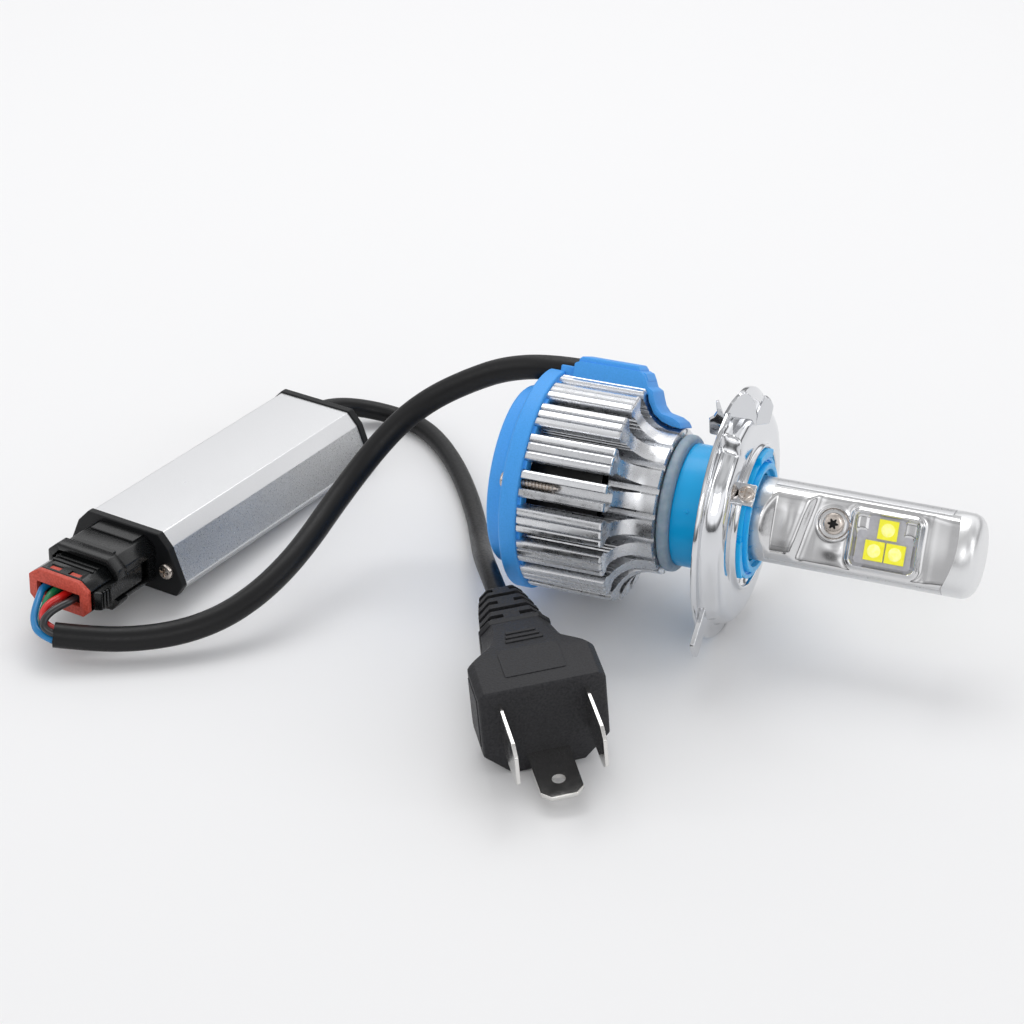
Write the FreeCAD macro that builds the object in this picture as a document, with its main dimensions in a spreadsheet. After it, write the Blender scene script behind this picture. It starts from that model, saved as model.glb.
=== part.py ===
import FreeCAD, Part
import math
import os
import Sketcher

# LED headlight bulb with a three-lug 43 mm flange (P43t cap pattern), a fan-cooled
# finned heat sink, an in-line driver box and a three-blade plug.
# Row frame: millimetres, +X along the bulb axis towards the tip, +Z up, origin at
# the centre of the flange's reference plane (the back of its 43 mm rim).
# The rim stands on the surface at z = -rim_r.

V = FreeCAD.Vector
doc = FreeCAD.newDocument("HeadlightBulb")
sheet = doc.addObject("Spreadsheet::Sheet", "Sizes")
SIZES = [
    # flange
    ("rim_r", 21.5, "flange rim radius (43 mm cap)"), ("rim_thick", 0.8, "flange sheet thickness"),
    ("wall_r", 18.2, "flange cup wall radius"), ("cup_x", 4.0, "front face of the flange cup"),
    ("neck_r", 12.7, "outer radius of the flange neck"), ("hole_r", 11.8, "bore of the flange neck"),
    ("neck_x", 6.6, "end of the flange neck"), ("lug_r", 26.6, "tip radius of the lower lugs"),
    ("lug_w", 4.4, "width of the lower lugs"), ("toplug_r", 24.4, "height of the top lug over the axis"),
    # collar, seal, post
    ("collar_r", 10.5, "collar radius"), ("tab_r", 11.73, "radius over the three bayonet tabs"),
    ("post_r", 7.15, "LED post radius"), ("bore_r", 7.2, "bore that holds the post"),
    ("post_end", 37.8, "end of the post"), ("flat_y", 3.2, "distance from axis to the post's flats"),
    ("tip_x", 43.0, "end of the tip cap"), ("seal_r", 11.9, "outer radius of the seal ring"),
    # heat sink
    ("barrel_r", 12.5, "heat sink barrel radius"), ("fin_r", 18.5, "radius over the fins"),
    ("sink_front", 9.4, "distance of the barrel's front face behind the flange plane"),
    ("sink_back", 32.0, "distance of the fins' rear ends behind the flange plane"),
    ("cavity_r", 14.3, "radius of the fan cavity"), ("cavity_x", 20.5, "distance of the cavity floor"),
    ("slot_w", 1.9, "air slot between two fin groups"), ("ridge_gap", 0.75, "gap between two ridges"),
    ("fin_groups", 18, "number of fin groups"),
    # cover
    ("cover_r", 19.0, "rear cover rim radius"), ("cover_x", 34.5, "rear of the cover's rim"),
    ("ring_r", 15.3, "radius of the cover's raised ring"), ("ring_x", 38.0, "rear of the cover"),
    # channel
    ("chan_w", 7.0, "width of the wire channel"), ("chan_top", 22.6, "top of the wire channel"),
    ("chan_floor", 17.3, "underside of the wire channel"), ("lead_z", 19.95, "height of the lead in the channel"),
    # cords
    ("lead_d", 4.3, "diameter of the bulb lead"), ("input_d", 3.5, "diameter of the input lead"),
    ("wire_d", 1.3, "diameter of the cores"),
    # fan
    ("hub_r", 6.3, "impeller hub radius"), ("blade_r", 13.4, "impeller blade tip radius"),
    ("shaft_r", 0.75, "fan shaft radius"), ("bearing_r", 0.79, "bore of the fan bearing"),
    # driver box
    ("case_len", 56.0, "length of the driver case"), ("case_top", 10.6, "height of the driver case"),
    ("top_half", 7.5, "half width of the case's top face"), ("shoulder_half", 9.6, "half width at the shoulder"),
    ("shoulder_z", 8.4, "height of the shoulder"), ("low_half", 12.3, "half width low on the sides"),
    ("low_z", 2.0, "height of the lower edge"), ("foot_half", 11.0, "half width of the underside"),
    ("wall", 1.2, "wall of the case"), ("cap_thick", 1.6, "thickness of the end caps"),
    # plug of the driver box
    ("housing_half", 6.3, "half width of the four-way plug"), ("housing_top", 8.6, "top of the four-way plug"),
    ("housing_foot", 2.3, "underside of the four-way plug"),
    # three-blade plug
    ("plug_w", 19.9, "width of the three-blade plug"), ("plug_tall", 16.3, "height of the three-blade plug"),
    ("plug_ch", 4.2, "chamfer of the plug's lower edges"), ("plug_len", 8.4, "straight length of the plug"),
    ("blade_w", 7.0, "blade width"), ("blade_t", 0.8, "blade thickness"), ("blade_len", 11.0, "blade length outside the plug"),
    ("blade_gap", 14.0, "spacing of the two upright blades"),
]
D = {}
for i, (alias, value, note) in enumerate(SIZES, start=1):
    sheet.set("A%d" % i, note)
    sheet.set("B%d" % i, str(value))
    sheet.setAlias("B%d" % i, alias)
    D[alias] = float(value)
doc.recompute()

NODES = {}


def val(e):
    """The number that an expression on the sheet gives."""
    if isinstance(e, (int, float)):
        return float(e)
    t = e
    for k in sorted(D, key=len, reverse=True):
        t = t.replace("Sizes." + k, repr(D[k]))
    total = 0.0
    for term in t.replace("- ", "+ -").split("+"):
        term = term.strip()
        if not term:
            continue
        p = 1.0
        for n, f in enumerate(term.split("*")):
            f = f.strip()
            if "/" in f:
                a, b = f.split("/")
                p *= float(a) / float(b)
            else:
                p *= float(f)
        total += p
    return total


def bind(obj, prop, e):
    if isinstance(e, str):
        obj.setExpression(prop, e)
    else:
        setattr(obj, prop, e)


def plane(body, role):
    return [f for f in body.Origin.OriginFeatures if f.Role == role][0]


def sketch(body, name, role, loops, offset=0.0):
    """A sketch of closed polygons whose corners are held by dimensions from the origin."""
    sk = body.newObject("Sketcher::SketchObject", name)
    sk.AttachmentSupport = [(plane(body, role), "")]
    sk.MapMode = "FlatFace"
    if offset:
        sk.AttachmentOffset = FreeCAD.Placement(V(0, 0, offset), FreeCAD.Rotation())
    for loop in loops:
        if loop[0] == "circle":
            _, a, b, r = loop
            g = sk.addGeometry(Part.Circle(V(val(a), val(b), 0), V(0, 0, 1), val(r)), False)
            dim(sk, "Radius", (g,), r)
            dim2(sk, g, 3, a, b)
            continue
        base = sk.GeometryCount
        n = len(loop)
        pts = [V(val(p[0]), val(p[1]), 0) for p in loop]
        for i in range(n):
            p, q = pts[i], pts[(i + 1) % n]
            sk.addGeometry(Part.LineSegment(p, q), False)
        for i in range(n):
            dim2(sk, base + i, 1, loop[i][0], loop[i][1])

    return sk


def dim(sk, kind, ref, e):
    c = sk.addConstraint(Sketcher.Constraint(kind, *ref, val(e)))
    if isinstance(e, str):
        sk.setExpression("Constraints[%d]" % c, e)


def dim2(sk, g, pos, a, b):
    for kind, e in (("DistanceX", a), ("DistanceY", b)):
        x = val(e)
        if abs(x) < 1e-9:
            if kind == "DistanceX":
                sk.addConstraint(Sketcher.Constraint("PointOnObject", g, pos, -2))
            else:
                sk.addConstraint(Sketcher.Constraint("PointOnObject", g, pos, -1))
        elif x > 0:
            c = sk.addConstraint(Sketcher.Constraint(kind, -1, 1, g, pos, x))
            if isinstance(e, str):
                sk.setExpression("Constraints[%d]" % c, e)
        else:
            c = sk.addConstraint(Sketcher.Constraint(kind, g, pos, -1, 1, -x))
            if isinstance(e, str):
                sk.setExpression("Constraints[%d]" % c, "-1 * (" + e + ")")


def close(sk, loops):
    """Joins the ends of the polygons' edges."""
    base = 0
    for loop in loops:
        if loop[0] == "circle":
            base += 1
            continue
        n = len(loop)
        for i in range(n):
            sk.addConstraint(Sketcher.Constraint("Coincident", base + i, 2, base + (i + 1) % n, 1))
        base += n


def poly(body, name, role, loops, offset=0.0):
    sk = sketch(body, name, role, loops, offset)
    close(sk, loops)
    return sk


def body(name):
    b = doc.addObject("PartDesign::Body", name)
    return b


def revolve(b, name, loops):
    """Turns profiles drawn as (x, radius) about the X axis."""
    sk = poly(b, name + "_profile", "XY_Plane", loops)
    r = b.newObject("PartDesign::Revolution", name)
    r.Profile = sk
    r.ReferenceAxis = (sk, ["H_Axis"])
    r.Angle = 360
    return r


def groove(b, name, loops):
    sk = poly(b, name + "_profile", "XY_Plane", loops)
    r = b.newObject("PartDesign::Groove", name)
    r.Profile = sk
    r.ReferenceAxis = (sk, ["H_Axis"])
    r.Angle = 360
    return r


def pad(b, name, role, loops, length, mid=False, rev=False, offset=0.0):
    sk = poly(b, name + "_profile", role, loops, offset)
    p = b.newObject("PartDesign::Pad", name)
    p.Profile = sk
    bind(p, "Length", length)
    p.Midplane = mid
    p.Reversed = rev
    return p


def pocket(b, name, role, loops, length, mid=False, rev=False, offset=0.0):
    sk = poly(b, name + "_profile", role, loops, offset)
    p = b.newObject("PartDesign::Pocket", name)
    p.Profile = sk
    bind(p, "Length", length)
    p.Midplane = mid
    p.Reversed = rev
    return p


def polar(b, name, feats, count, axis_role="X_Axis"):
    pp = b.newObject("PartDesign::PolarPattern", name)
    pp.Originals = feats
    pp.Axis = (plane(b, axis_role), [""])
    pp.Angle = 360
    bind(pp, "Occurrences", count)
    b.Tip = pp
    return pp


def place(ax, ang, base=(0, 0, 0)):
    return FreeCAD.Placement(V(*base), FreeCAD.Rotation(V(*ax), ang))


def cyl(name, r, h, at=(0, 0, 0), ax=(0, 0, 1)):
    c = doc.addObject("Part::Cylinder", name)
    bind(c, "Radius", r)
    bind(c, "Height", h)
    c.Placement = FreeCAD.Placement(V(*[val(k) for k in at]), FreeCAD.Rotation(V(0, 0, 1), V(*ax)))
    return c


def box(name, size, at=(0, 0, 0), rot=None):
    c = doc.addObject("Part::Box", name)
    for p, e in zip(("Length", "Width", "Height"), size):
        bind(c, p, e)
    c.Placement = FreeCAD.Placement(V(*[val(k) for k in at]), rot or FreeCAD.Rotation())
    return c


def cut(name, a, tools):
    c = doc.addObject("Part::Cut", name)
    c.Base = a
    if len(tools) == 1:
        c.Tool = tools[0]
    else:
        f = doc.addObject("Part::MultiFuse", name + "_tools")
        f.Shapes = tools
        c.Tool = f
    return c


def fuse(name, parts):
    f = doc.addObject("Part::MultiFuse", name)
    f.Shapes = parts
    return f


def group(name, parts):
    """A set of separate, equal pieces that share one node."""
    f = doc.addObject("Part::Compound", name)
    f.Links = parts
    return f


def node(name, obj, pl=None):
    obj.Label = name
    if pl is not None:
        obj.Placement = pl.multiply(obj.Placement)
    NODES[name] = obj
    return obj


# The bulb's body is turned about its axis against the flange, as it is set for the beam.
ROLL = place((1, 0, 0), -26.0)
FLANGE = place((1, 0, 0), 3.0)

# ---------------------------------------------------------------- flange
b = body("flange_body")
revolve(b, "cup", [[("Sizes.rim_thick * 0.0", "Sizes.rim_r"), ("Sizes.rim_thick", "Sizes.rim_r"), ("Sizes.rim_thick", 19.5),
                    (1.3, "Sizes.wall_r + 0.6"), ("Sizes.cup_x", "Sizes.wall_r"), ("Sizes.cup_x", "Sizes.neck_r"),
                    ("Sizes.neck_x", "Sizes.neck_r"), ("Sizes.neck_x", "Sizes.hole_r"), ("Sizes.cup_x - Sizes.rim_thick", "Sizes.hole_r"),
                    ("Sizes.cup_x - Sizes.rim_thick", "Sizes.wall_r - Sizes.rim_thick"), (0.7, "Sizes.wall_r - 0.3"), ("Sizes.rim_thick * 0.0", 19.2)]])
# lower lugs on the rim's front face, then the wide top lug, a rounded tongue between two ears, turned 45 degrees about the radius
for i, a in enumerate((120.0, 240.0)):
    s, c = math.sin(math.radians(a)), math.cos(math.radians(a))
    hw = D["lug_w"] / 2

    def pt(r, t, s=s, c=c):
        return (round(-r * s - t * c, 4), round(r * c - t * s, 4))
    pad(b, "lug%d" % i, "YZ_Plane", [[pt(18.4, -hw), pt(25.6, -hw), pt(D["lug_r"], -hw + 1.2), pt(D["lug_r"], hw - 1.2), pt(25.6, hw), pt(18.4, hw)]],
        "Sizes.rim_thick", offset=0.8)
lug = pad(b, "toplug", "XZ_Plane", [[(-2.6, 17.75), (-4.7, 19.0), (-4.0, 20.4), (-3.5, 21.2), (-3.5, 23.3), (-3.1, 23.4), (-2.85, 20.6), (-2.2, 21.3), (-1.2, 22.9), (-0.1, 24.0), (1.3, "Sizes.toplug_r"),
                                      (2.3, 23.3), (3.1, 21.4), (3.4, 19.3), (3.7, 20.1), (4.8, 22.9), (6.1, 21.4), (6.4, 20.5), (5.9, 18.4), (5.4, 17.75)]], "Sizes.rim_thick", mid=True)
lug.Profile[0].AttachmentOffset = FreeCAD.Placement(V(1.6, 0, 1.6), FreeCAD.Rotation(V(0, 1, 0), 45.0))
# seat for the lock screw in the neck
hole = pocket(b, "screw_hole", "XY_Plane", [("circle", 5.5, 0, 0.95)], 6.0)
hole.Profile[0].AttachmentOffset = FreeCAD.Placement(V(0, 0, 0), FreeCAD.Rotation(V(1, 0, 0), 41.0)).multiply(FreeCAD.Placement(V(0, 0, 14.0), FreeCAD.Rotation()))
doc.recompute()
if hole.Shape.Volume > doc.getObject("toplug").Shape.Volume - 0.5:
    hole.Reversed = True
doc.recompute()
b.Tip = hole
node("flange", b, FLANGE)
node("flange_screw", fuse("flange_screw_solid", [cyl("fs_shank", 0.9, 2.4, (5.5, 0, 10.62)), cyl("fs_head", 1.4, 1.2, (5.5, 0, 12.75))]), place((1, 0, 0), 44.0))

# ---------------------------------------------------------------- collar, seal, post
b = body("collar_body")
revolve(b, "collar_turn", [[(-9.3, "Sizes.bore_r"), (-9.3, 8.9), (-7.15, 8.9), (-7.15, "Sizes.collar_r"), (5.6, "Sizes.collar_r"),
                            (6.2, 9.9), (6.2, 8.6), (4.9, 8.4), (4.9, "Sizes.bore_r")]])
tabs = []
for i, a in enumerate((10.0, 130.0, 250.0)):
    arc_pts = []
    for k in range(9):
        t = math.radians(a - 20 + 5 * k)
        arc_pts.append((round(-D["tab_r"] * math.sin(t), 4), round(D["tab_r"] * math.cos(t), 4)))
    for k in range(8, -1, -1):
        t = math.radians(a - 20 + 5 * k)
        arc_pts.append((round(-10.0 * math.sin(t), 4), round(10.0 * math.cos(t), 4)))
    pad(b, "tab%d" % i, "YZ_Plane", [arc_pts], 2.4, offset=3.1)
node("bayonet_collar", b, ROLL)
b = body("seal_body")
revolve(b, "seal_turn", [[(-9.35, 9.4), (-8.9, 8.95), (-7.7, 8.95), (-7.2, 9.4), (-7.2, "Sizes.seal_r - 0.6"), (-7.7, "Sizes.seal_r"), (-8.8, "Sizes.seal_r"), (-9.35, "Sizes.seal_r - 0.6")]])
node("seal_ring", b, ROLL)

post_round = cyl("post_round", "Sizes.post_r", "Sizes.post_end + 17", (-17, 0, 0), (1, 0, 0))
flat_a = box("post_flat_a", (31, 10, 20), (8.2, "Sizes.flat_y", -10))
flat_b = box("post_flat_b", (31, 10, 20), (8.2, -13.2, -10))
node("led_post", cut("led_post_solid", post_round, [flat_a, flat_b]), ROLL)

for side, sgn in (("near", -1), ("far", 1)):
    # local +Y is the far face and -Y the near one
    turn = FreeCAD.Rotation(V(1, 0, 0), 0.0 if sgn > 0 else 180.0)
    pl = ROLL.multiply(FreeCAD.Placement(V(0, 0, 0), turn))
    node("led_board_" + side, box("board_" + side, (12.4, 0.6, 9.4), (0, 0, 0)), pl.multiply(FreeCAD.Placement(V(21.0, D["flat_y"], -4.7), FreeCAD.Rotation())))
    zs = 1 if sgn > 0 else -1
    chips = [box("chip_%s_%d" % (side, i), (3.5, 0.55, 3.5), (x - 1.75, D["flat_y"] + 0.6, zs * z - 1.75)) for i, (x, z) in enumerate(((28.0, 2.1), (26.2, -1.65), (29.75, -1.65)))]
    node("led_chips_" + side, group("chips_" + side, chips), pl)
    b = body("reflector_%s_body" % side)
    pad(b, "sheet_" + side, "XY_Plane", [[(8.6, 5.0), (13.4, 5.0), (14.9, 4.3), (37.6, 4.3), (37.6, 3.85), (14.8, 3.85), (13.3, 4.55), (8.6, 4.55)]], 10.4, mid=True)
    pocket(b, "window_" + side, "XZ_Plane", [[(22.9, -4.2), (22.9, 4.2), (32.8, 4.2), (32.8, -4.2)]], 12.0, mid=True)
    pocket(b, "screw_seat_" + side, "XZ_Plane", [("circle", 18.8, 1.55 * zs, 0.95)], 12.0, mid=True)
    node("reflector_" + side, b, pl)
screws = []
for side, sgn in (("near", -1), ("far", 1)):
    zz = 1.55
    screws.append(fuse("plate_screw_" + side, [cyl("ps_head_" + side, 1.65, 0.9, (18.8, sgn * 4.35, zz), (0, sgn, 0)), cyl("ps_shank_" + side, 0.85, 1.1, (18.8, sgn * 3.25, zz), (0, sgn, 0))]))
node("plate_screws", group("plate_screw_set", screws), ROLL)
b = body("tip_body")
revolve(b, "tip_turn", [[(37.85, 0), (37.85, 6.4), (38.2, 6.4), (38.2, "Sizes.post_r"), (40.3, "Sizes.post_r"), (41.9, 6.6), (42.7, 5.6), ("Sizes.tip_x", 4.2), ("Sizes.tip_x", 0)]])
node("tip_cap", b, ROLL)

# ---------------------------------------------------------------- heat sink
b = body("sink_body")
# the scoop between the barrel and the fins: a quarter circle of 5.3 mm, hollow towards the flange
scoop = [(round(-11.1 - 5.3 * math.sin(math.radians(t)), 3), round(17.8 - 5.3 * math.cos(math.radians(t)), 3)) for t in (15, 30, 45, 60, 75)]
revolve(b, "sink_turn", [[("-1 * Sizes.sink_front", "Sizes.bore_r"), ("-1 * Sizes.sink_front", "Sizes.barrel_r"),
                          (-11.1, "Sizes.barrel_r")] + scoop + [(-16.4, 17.8), (-16.4, "Sizes.fin_r"),
                          ("-1 * Sizes.sink_back", "Sizes.fin_r"), ("-1 * Sizes.sink_back", "Sizes.cavity_r"), ("-1 * Sizes.cavity_x", "Sizes.cavity_r"),
                          ("-1 * Sizes.cavity_x", 0), (-17.05, 0), (-17.05, "Sizes.bore_r")]])
slot = pocket(b, "air_slot", "XY_Plane", [[(-33, -0.95), (-33, 0.95), (-18.3, 0.95), (-18.3, -0.95)]], 6.0, offset=19.5)
doc.recompute()
v0 = doc.getObject("sink_turn").Shape.Volume
if slot.Shape.Volume > v0 - 1:
    slot.Reversed = True
gap = pocket(b, "ridge_gaps", "XY_Plane", [[(-33, 2.05), (-33, 2.8), (-14, 2.8), (-14, 2.05)], [(-33, -2.8), (-33, -2.05), (-14, -2.05), (-14, -2.8)]], 2.6, offset=19.2, rev=slot.Reversed)
doc.recompute()
polar(b, "fin_pattern", [slot, gap], "Sizes.fin_groups")
doc.recompute()
flat = pocket(b, "channel_seat", "XY_Plane", [[(-33, -3.7), (-33, 3.7), (-13.0, 3.7), (-13.0, -3.7)]], 2.8, offset=20.0, rev=slot.Reversed)
port = pocket(b, "screw_ports", "XZ_Plane", [[(-33, -1.15), (-33, 1.15), (-24.0, 1.15), (-24.0, -1.15)]], 4.3, offset=19.5)
port2 = pocket(b, "screw_ports_far", "XZ_Plane", [[(-33, -1.15), (-33, 1.15), (-24.0, 1.15), (-24.0, -1.15)]], 4.3, offset=-19.5)
doc.recompute()
if port.Shape.Volume > flat.Shape.Volume - 1:
    port.Reversed = True
    port.recompute()
doc.recompute()
if port2.Shape.Volume > port.Shape.Volume - 1:
    port2.Reversed = True
b.Tip = port2
doc.recompute()
node("heatsink_body", b, ROLL)

# ---------------------------------------------------------------- fan
node("fan_base", cyl("fan_base_solid", 6.8, 1.4, (-21.95, 0, 0), (1, 0, 0)), ROLL)
node("fan_pcb", cut("fan_pcb_solid", cyl("fan_pcb_disc", 6.4, 0.8, (-22.8, 0, 0), (1, 0, 0)), [cyl("fan_pcb_hole", 2.0, 2.0, (-23.5, 0, 0), (1, 0, 0))]), ROLL)
node("fan_bearing", cut("fan_bearing_solid", cyl("bearing_tube", 1.9, 5.4, (-27.4, 0, 0), (1, 0, 0)), [cyl("bearing_bore", "Sizes.bearing_r", 8, (-29, 0, 0), (1, 0, 0))]), ROLL)
arms = [box("stator_arm_%d" % i, (3.0, 8.6, 1.5), (-26.4, -4.3, -0.75)) for i in range(1)] + [box("stator_arm_v", (3.0, 1.5, 8.6), (-26.4, -0.75, -4.3))]
shoes = []
for i in range(4):
    a = math.radians(90 * i)
    shoes.append(box("stator_shoe_%d" % i, (3.0, 3.4, 0.7), (0, 0, 0)))
    shoes[-1].Placement = FreeCAD.Placement(V(0, 0, 0), FreeCAD.Rotation(V(1, 0, 0), 90 * i)).multiply(FreeCAD.Placement(V(-26.4, -1.7, 3.6), FreeCAD.Rotation()))
node("stator_core", cut("stator_core_solid", fuse("stator_star", arms + shoes + [cyl("stator_hub", 2.6, 3.0, (-26.4, 0, 0), (1, 0, 0))]), [cyl("stator_bore", 1.92, 8, (-29, 0, 0), (1, 0, 0))]), ROLL)
coils = []
for i in range(4):
    o = box("coil_out_%d" % i, (4.0, 2.6, 0.9))
    o.Placement = FreeCAD.Placement(V(0, 0, 0), FreeCAD.Rotation(V(1, 0, 0), 90 * i)).multiply(FreeCAD.Placement(V(-26.9, -1.3, 2.65), FreeCAD.Rotation()))
    q = box("coil_in_%d" % i, (3.05, 1.55, 1.6))
    q.Placement = FreeCAD.Placement(V(0, 0, 0), FreeCAD.Rotation(V(1, 0, 0), 90 * i)).multiply(FreeCAD.Placement(V(-26.425, -0.775, 2.3), FreeCAD.Rotation()))
    coils.append(cut("coil_%d" % i, o, [q]))
node("stator_coils", group("stator_coil_set", coils), ROLL)
node("rotor_magnet", cut("magnet_solid", cyl("magnet_out", 5.45, 3.4, (-27.0, 0, 0), (1, 0, 0)), [cyl("magnet_in", 4.75, 5, (-28, 0, 0), (1, 0, 0))]), ROLL)
node("fan_shaft", cyl("fan_shaft_solid", "Sizes.shaft_r", 6.0, (-28.3, 0, 0), (1, 0, 0)), ROLL)
hub = cut("hub_cup", cyl("hub_out", "Sizes.hub_r", 5.6, (-29.1, 0, 0), (1, 0, 0)), [cyl("hub_in", 5.47, 5, (-28.3, 0, 0), (1, 0, 0))])
blades = []
for i in range(7):
    bl_ = box("fan_blade_%d" % i, (5.0, 0.6, 7.4))
    bl_.Placement = FreeCAD.Placement(V(0, 0, 0), FreeCAD.Rotation(V(1, 0, 0), 360.0 / 7 * i)).multiply(
        FreeCAD.Placement(V(-26.3, 0, 6.0), FreeCAD.Rotation(V(0, 0, 1), 38))).multiply(FreeCAD.Placement(V(-2.5, -0.3, 0), FreeCAD.Rotation()))
    blades.append(bl_)
node("impeller", fuse("impeller_solid", [hub] + blades), ROLL)

# ---------------------------------------------------------------- rear cover and its screws
b = body("cover_body")
revolve(b, "cover_turn", [[("-1 * Sizes.sink_back - 0.02", "Sizes.cavity_r + 0.2"), ("-1 * Sizes.sink_back - 0.02", "Sizes.cover_r"), ("-1 * Sizes.cover_x + 0.5", "Sizes.cover_r"),
                           ("-1 * Sizes.cover_x", "Sizes.cover_r - 0.5"), ("-1 * Sizes.cover_x - 0.3", "Sizes.ring_r + 0.9"), ("-1 * Sizes.cover_x - 1.0", "Sizes.ring_r + 0.2"),
                           ("-1 * Sizes.ring_x + 0.6", "Sizes.ring_r"), ("-1 * Sizes.ring_x", "Sizes.ring_r - 0.6"), ("-1 * Sizes.ring_x", 0), (-36.6, 0), (-36.6, "Sizes.cavity_r - 0.4"), (-33.5, "Sizes.cavity_r - 0.2")]])
gr = []
for k, (r0, r1) in enumerate(((4.2, 8.0), (8.9, 13.0))):
    g0 = math.radians(6 if k == 0 else 3.2)
    g1 = math.radians(24 if k == 0 else 26.8)
    pts = []
    for j in range(5):
        t = g0 + (g1 - g0) * j / 4
        pts.append((round(-r1 * math.sin(t), 4), round(r1 * math.cos(t), 4)))
    for j in range(4, -1, -1):
        t = g0 + (g1 - g0) * j / 4
        pts.append((round(-r0 * math.sin(t), 4), round(r0 * math.cos(t), 4)))
    gr.append(pts)
gp = pocket(b, "grille", "YZ_Plane", gr, 4.0, offset=-39.5)
doc.recompute()
if gp.Shape.Volume > doc.getObject("cover_turn").Shape.Volume - 1:
    gp.Reversed = True
doc.recompute()
polar(b, "grille_pattern", [gp], 12)
doc.recompute()
before = b.Shape.Volume
notch = pocket(b, "lead_notch", "XY_Plane", [[(-35.6, -2.65), (-35.6, 2.65), (-31.5, 2.65), (-31.5, -2.65)]], 3.6, offset=20.8)
doc.recompute()
if notch.Shape.Volume > before - 1:
    notch.Reversed = True
doc.recompute()
before = notch.Shape.Volume
ch = pocket(b, "cover_screw_holes", "YZ_Plane", [("circle", -16.75, 0, 1.0), ("circle", 16.75, 0, 1.0)], 4.5, offset=-36.5)
doc.recompute()
if ch.Shape.Volume > before - 1:
    ch.Reversed = True
doc.recompute()
before = ch.Shape.Volume
cbore = pocket(b, "cover_screw_seats", "YZ_Plane", [("circle", -16.75, 0, 1.8), ("circle", 16.75, 0, 1.8)], 4.7, offset=-39.0)
doc.recompute()
if cbore.Shape.Volume > before - 0.1:
    cbore.Reversed = True
doc.recompute()
b.Tip = cbore
node("rear_cover", b, ROLL)
cs = []
for i, s in enumerate((-1, 1)):
    cs.append(fuse("cover_screw_%d" % i, [cyl("cs_shank_%d" % i, 0.9, 9.6, (-34.7, 16.75 * s, 0), (1, 0, 0)), cyl("cs_head_%d" % i, 1.5, 0.9, (-35.2, 16.75 * s, 0), (1, 0, 0))]))
node("cover_screws", group("cover_screw_set", cs), ROLL)

# ---------------------------------------------------------------- wire channel on the bulb
b = body("channel_body")
pad(b, "channel_block", "XZ_Plane", [[(-29.8, "Sizes.chan_floor"), (-29.8, "Sizes.chan_top - 1.0"), (-28.6, "Sizes.chan_top - 0.6"), (-28.0, "Sizes.chan_top"), (-18.4, "Sizes.chan_top"),
                                      (-17.5, "Sizes.chan_top - 1.6"), (-16.7, 19.7), (-16.4, 18.5), (-15.3, 18.0), (-14.6, 16.4), (-14.0, 15.3), (-13.2, 14.5), (-11.2, 14.1), (-10.0, 13.4), (-9.6, 12.65),
                                      (-11.3, 12.7), (-13.1, 13.2), (-14.7, 14.5), (-15.9, 16.4), (-16.2, "Sizes.chan_floor")]], "Sizes.chan_w", mid=True)
pad(b, "channel_link", "XZ_Plane", [[(-32.4, "Sizes.chan_floor"), (-32.4, 19.6), (-29.7, 19.6), (-29.7, "Sizes.chan_floor")]], 5.1, mid=True)
doc.recompute()
before = doc.getObject("channel_link").Shape.Volume
hl = pocket(b, "lead_bore", "YZ_Plane", [("circle", 0, "Sizes.lead_z", 2.25)], 8.4, offset=-34.6)
doc.recompute()
if hl.Shape.Volume > before - 1:
    hl.Reversed = True
doc.recompute()
b.Tip = hl
node("wire_channel", b, ROLL)

# ---------------------------------------------------------------- driver box
# local frame: x across, y along the box away from its plug, z up from its underside
DRV = FreeCAD.Placement(V(-100.19, -26.34, -18.80), FreeCAD.Rotation(V(0, 0, 1), 79.0 - 90.0).multiply(FreeCAD.Rotation(V(1, 0, 0), -2.4)))


def section_in():
    w = 1.2
    return [(-6.9, D["case_top"] - w), (6.9, D["case_top"] - w), (8.5, 8.0), (10.9, 2.3), (10.0, w), (-10.0, w), (-10.9, 2.3), (-8.5, 8.0)]


def section_out(g):
    return [(-D["top_half"] - 0.55 * g, D["case_top"] + g), (D["top_half"] + 0.55 * g, D["case_top"] + g), (D["shoulder_half"] + g, D["shoulder_z"] + 0.35 * g),
            (D["low_half"] + g, D["low_z"] - 0.3 * g), (D["foot_half"] + 0.5 * g, -g), (-D["foot_half"] - 0.5 * g, -g), (-D["low_half"] - g, D["low_z"] - 0.3 * g),
            (-D["shoulder_half"] - g, D["shoulder_z"] + 0.35 * g)]


CASE = [("-1 * Sizes.top_half", "Sizes.case_top"), ("Sizes.top_half", "Sizes.case_top"), ("Sizes.shoulder_half", "Sizes.shoulder_z"), ("Sizes.low_half", "Sizes.low_z"),
        ("Sizes.foot_half", 0), ("-1 * Sizes.foot_half", 0), ("-1 * Sizes.low_half", "Sizes.low_z"), ("-1 * Sizes.shoulder_half", "Sizes.shoulder_z")]


def along(b, name, loops, y0, y1, kind="pad"):
    """Pads or pockets a section, drawn as (x, z), from y0 to y1."""
    f = (pad if kind == "pad" else pocket)(b, name, "XZ_Plane", loops, y1 - y0)
    sk = doc.getObject(name + "_profile")
    sk.AttachmentOffset = FreeCAD.Placement(V(0, 0, -y0), FreeCAD.Rotation())
    f.Reversed = kind == "pad"
    return f


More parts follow.
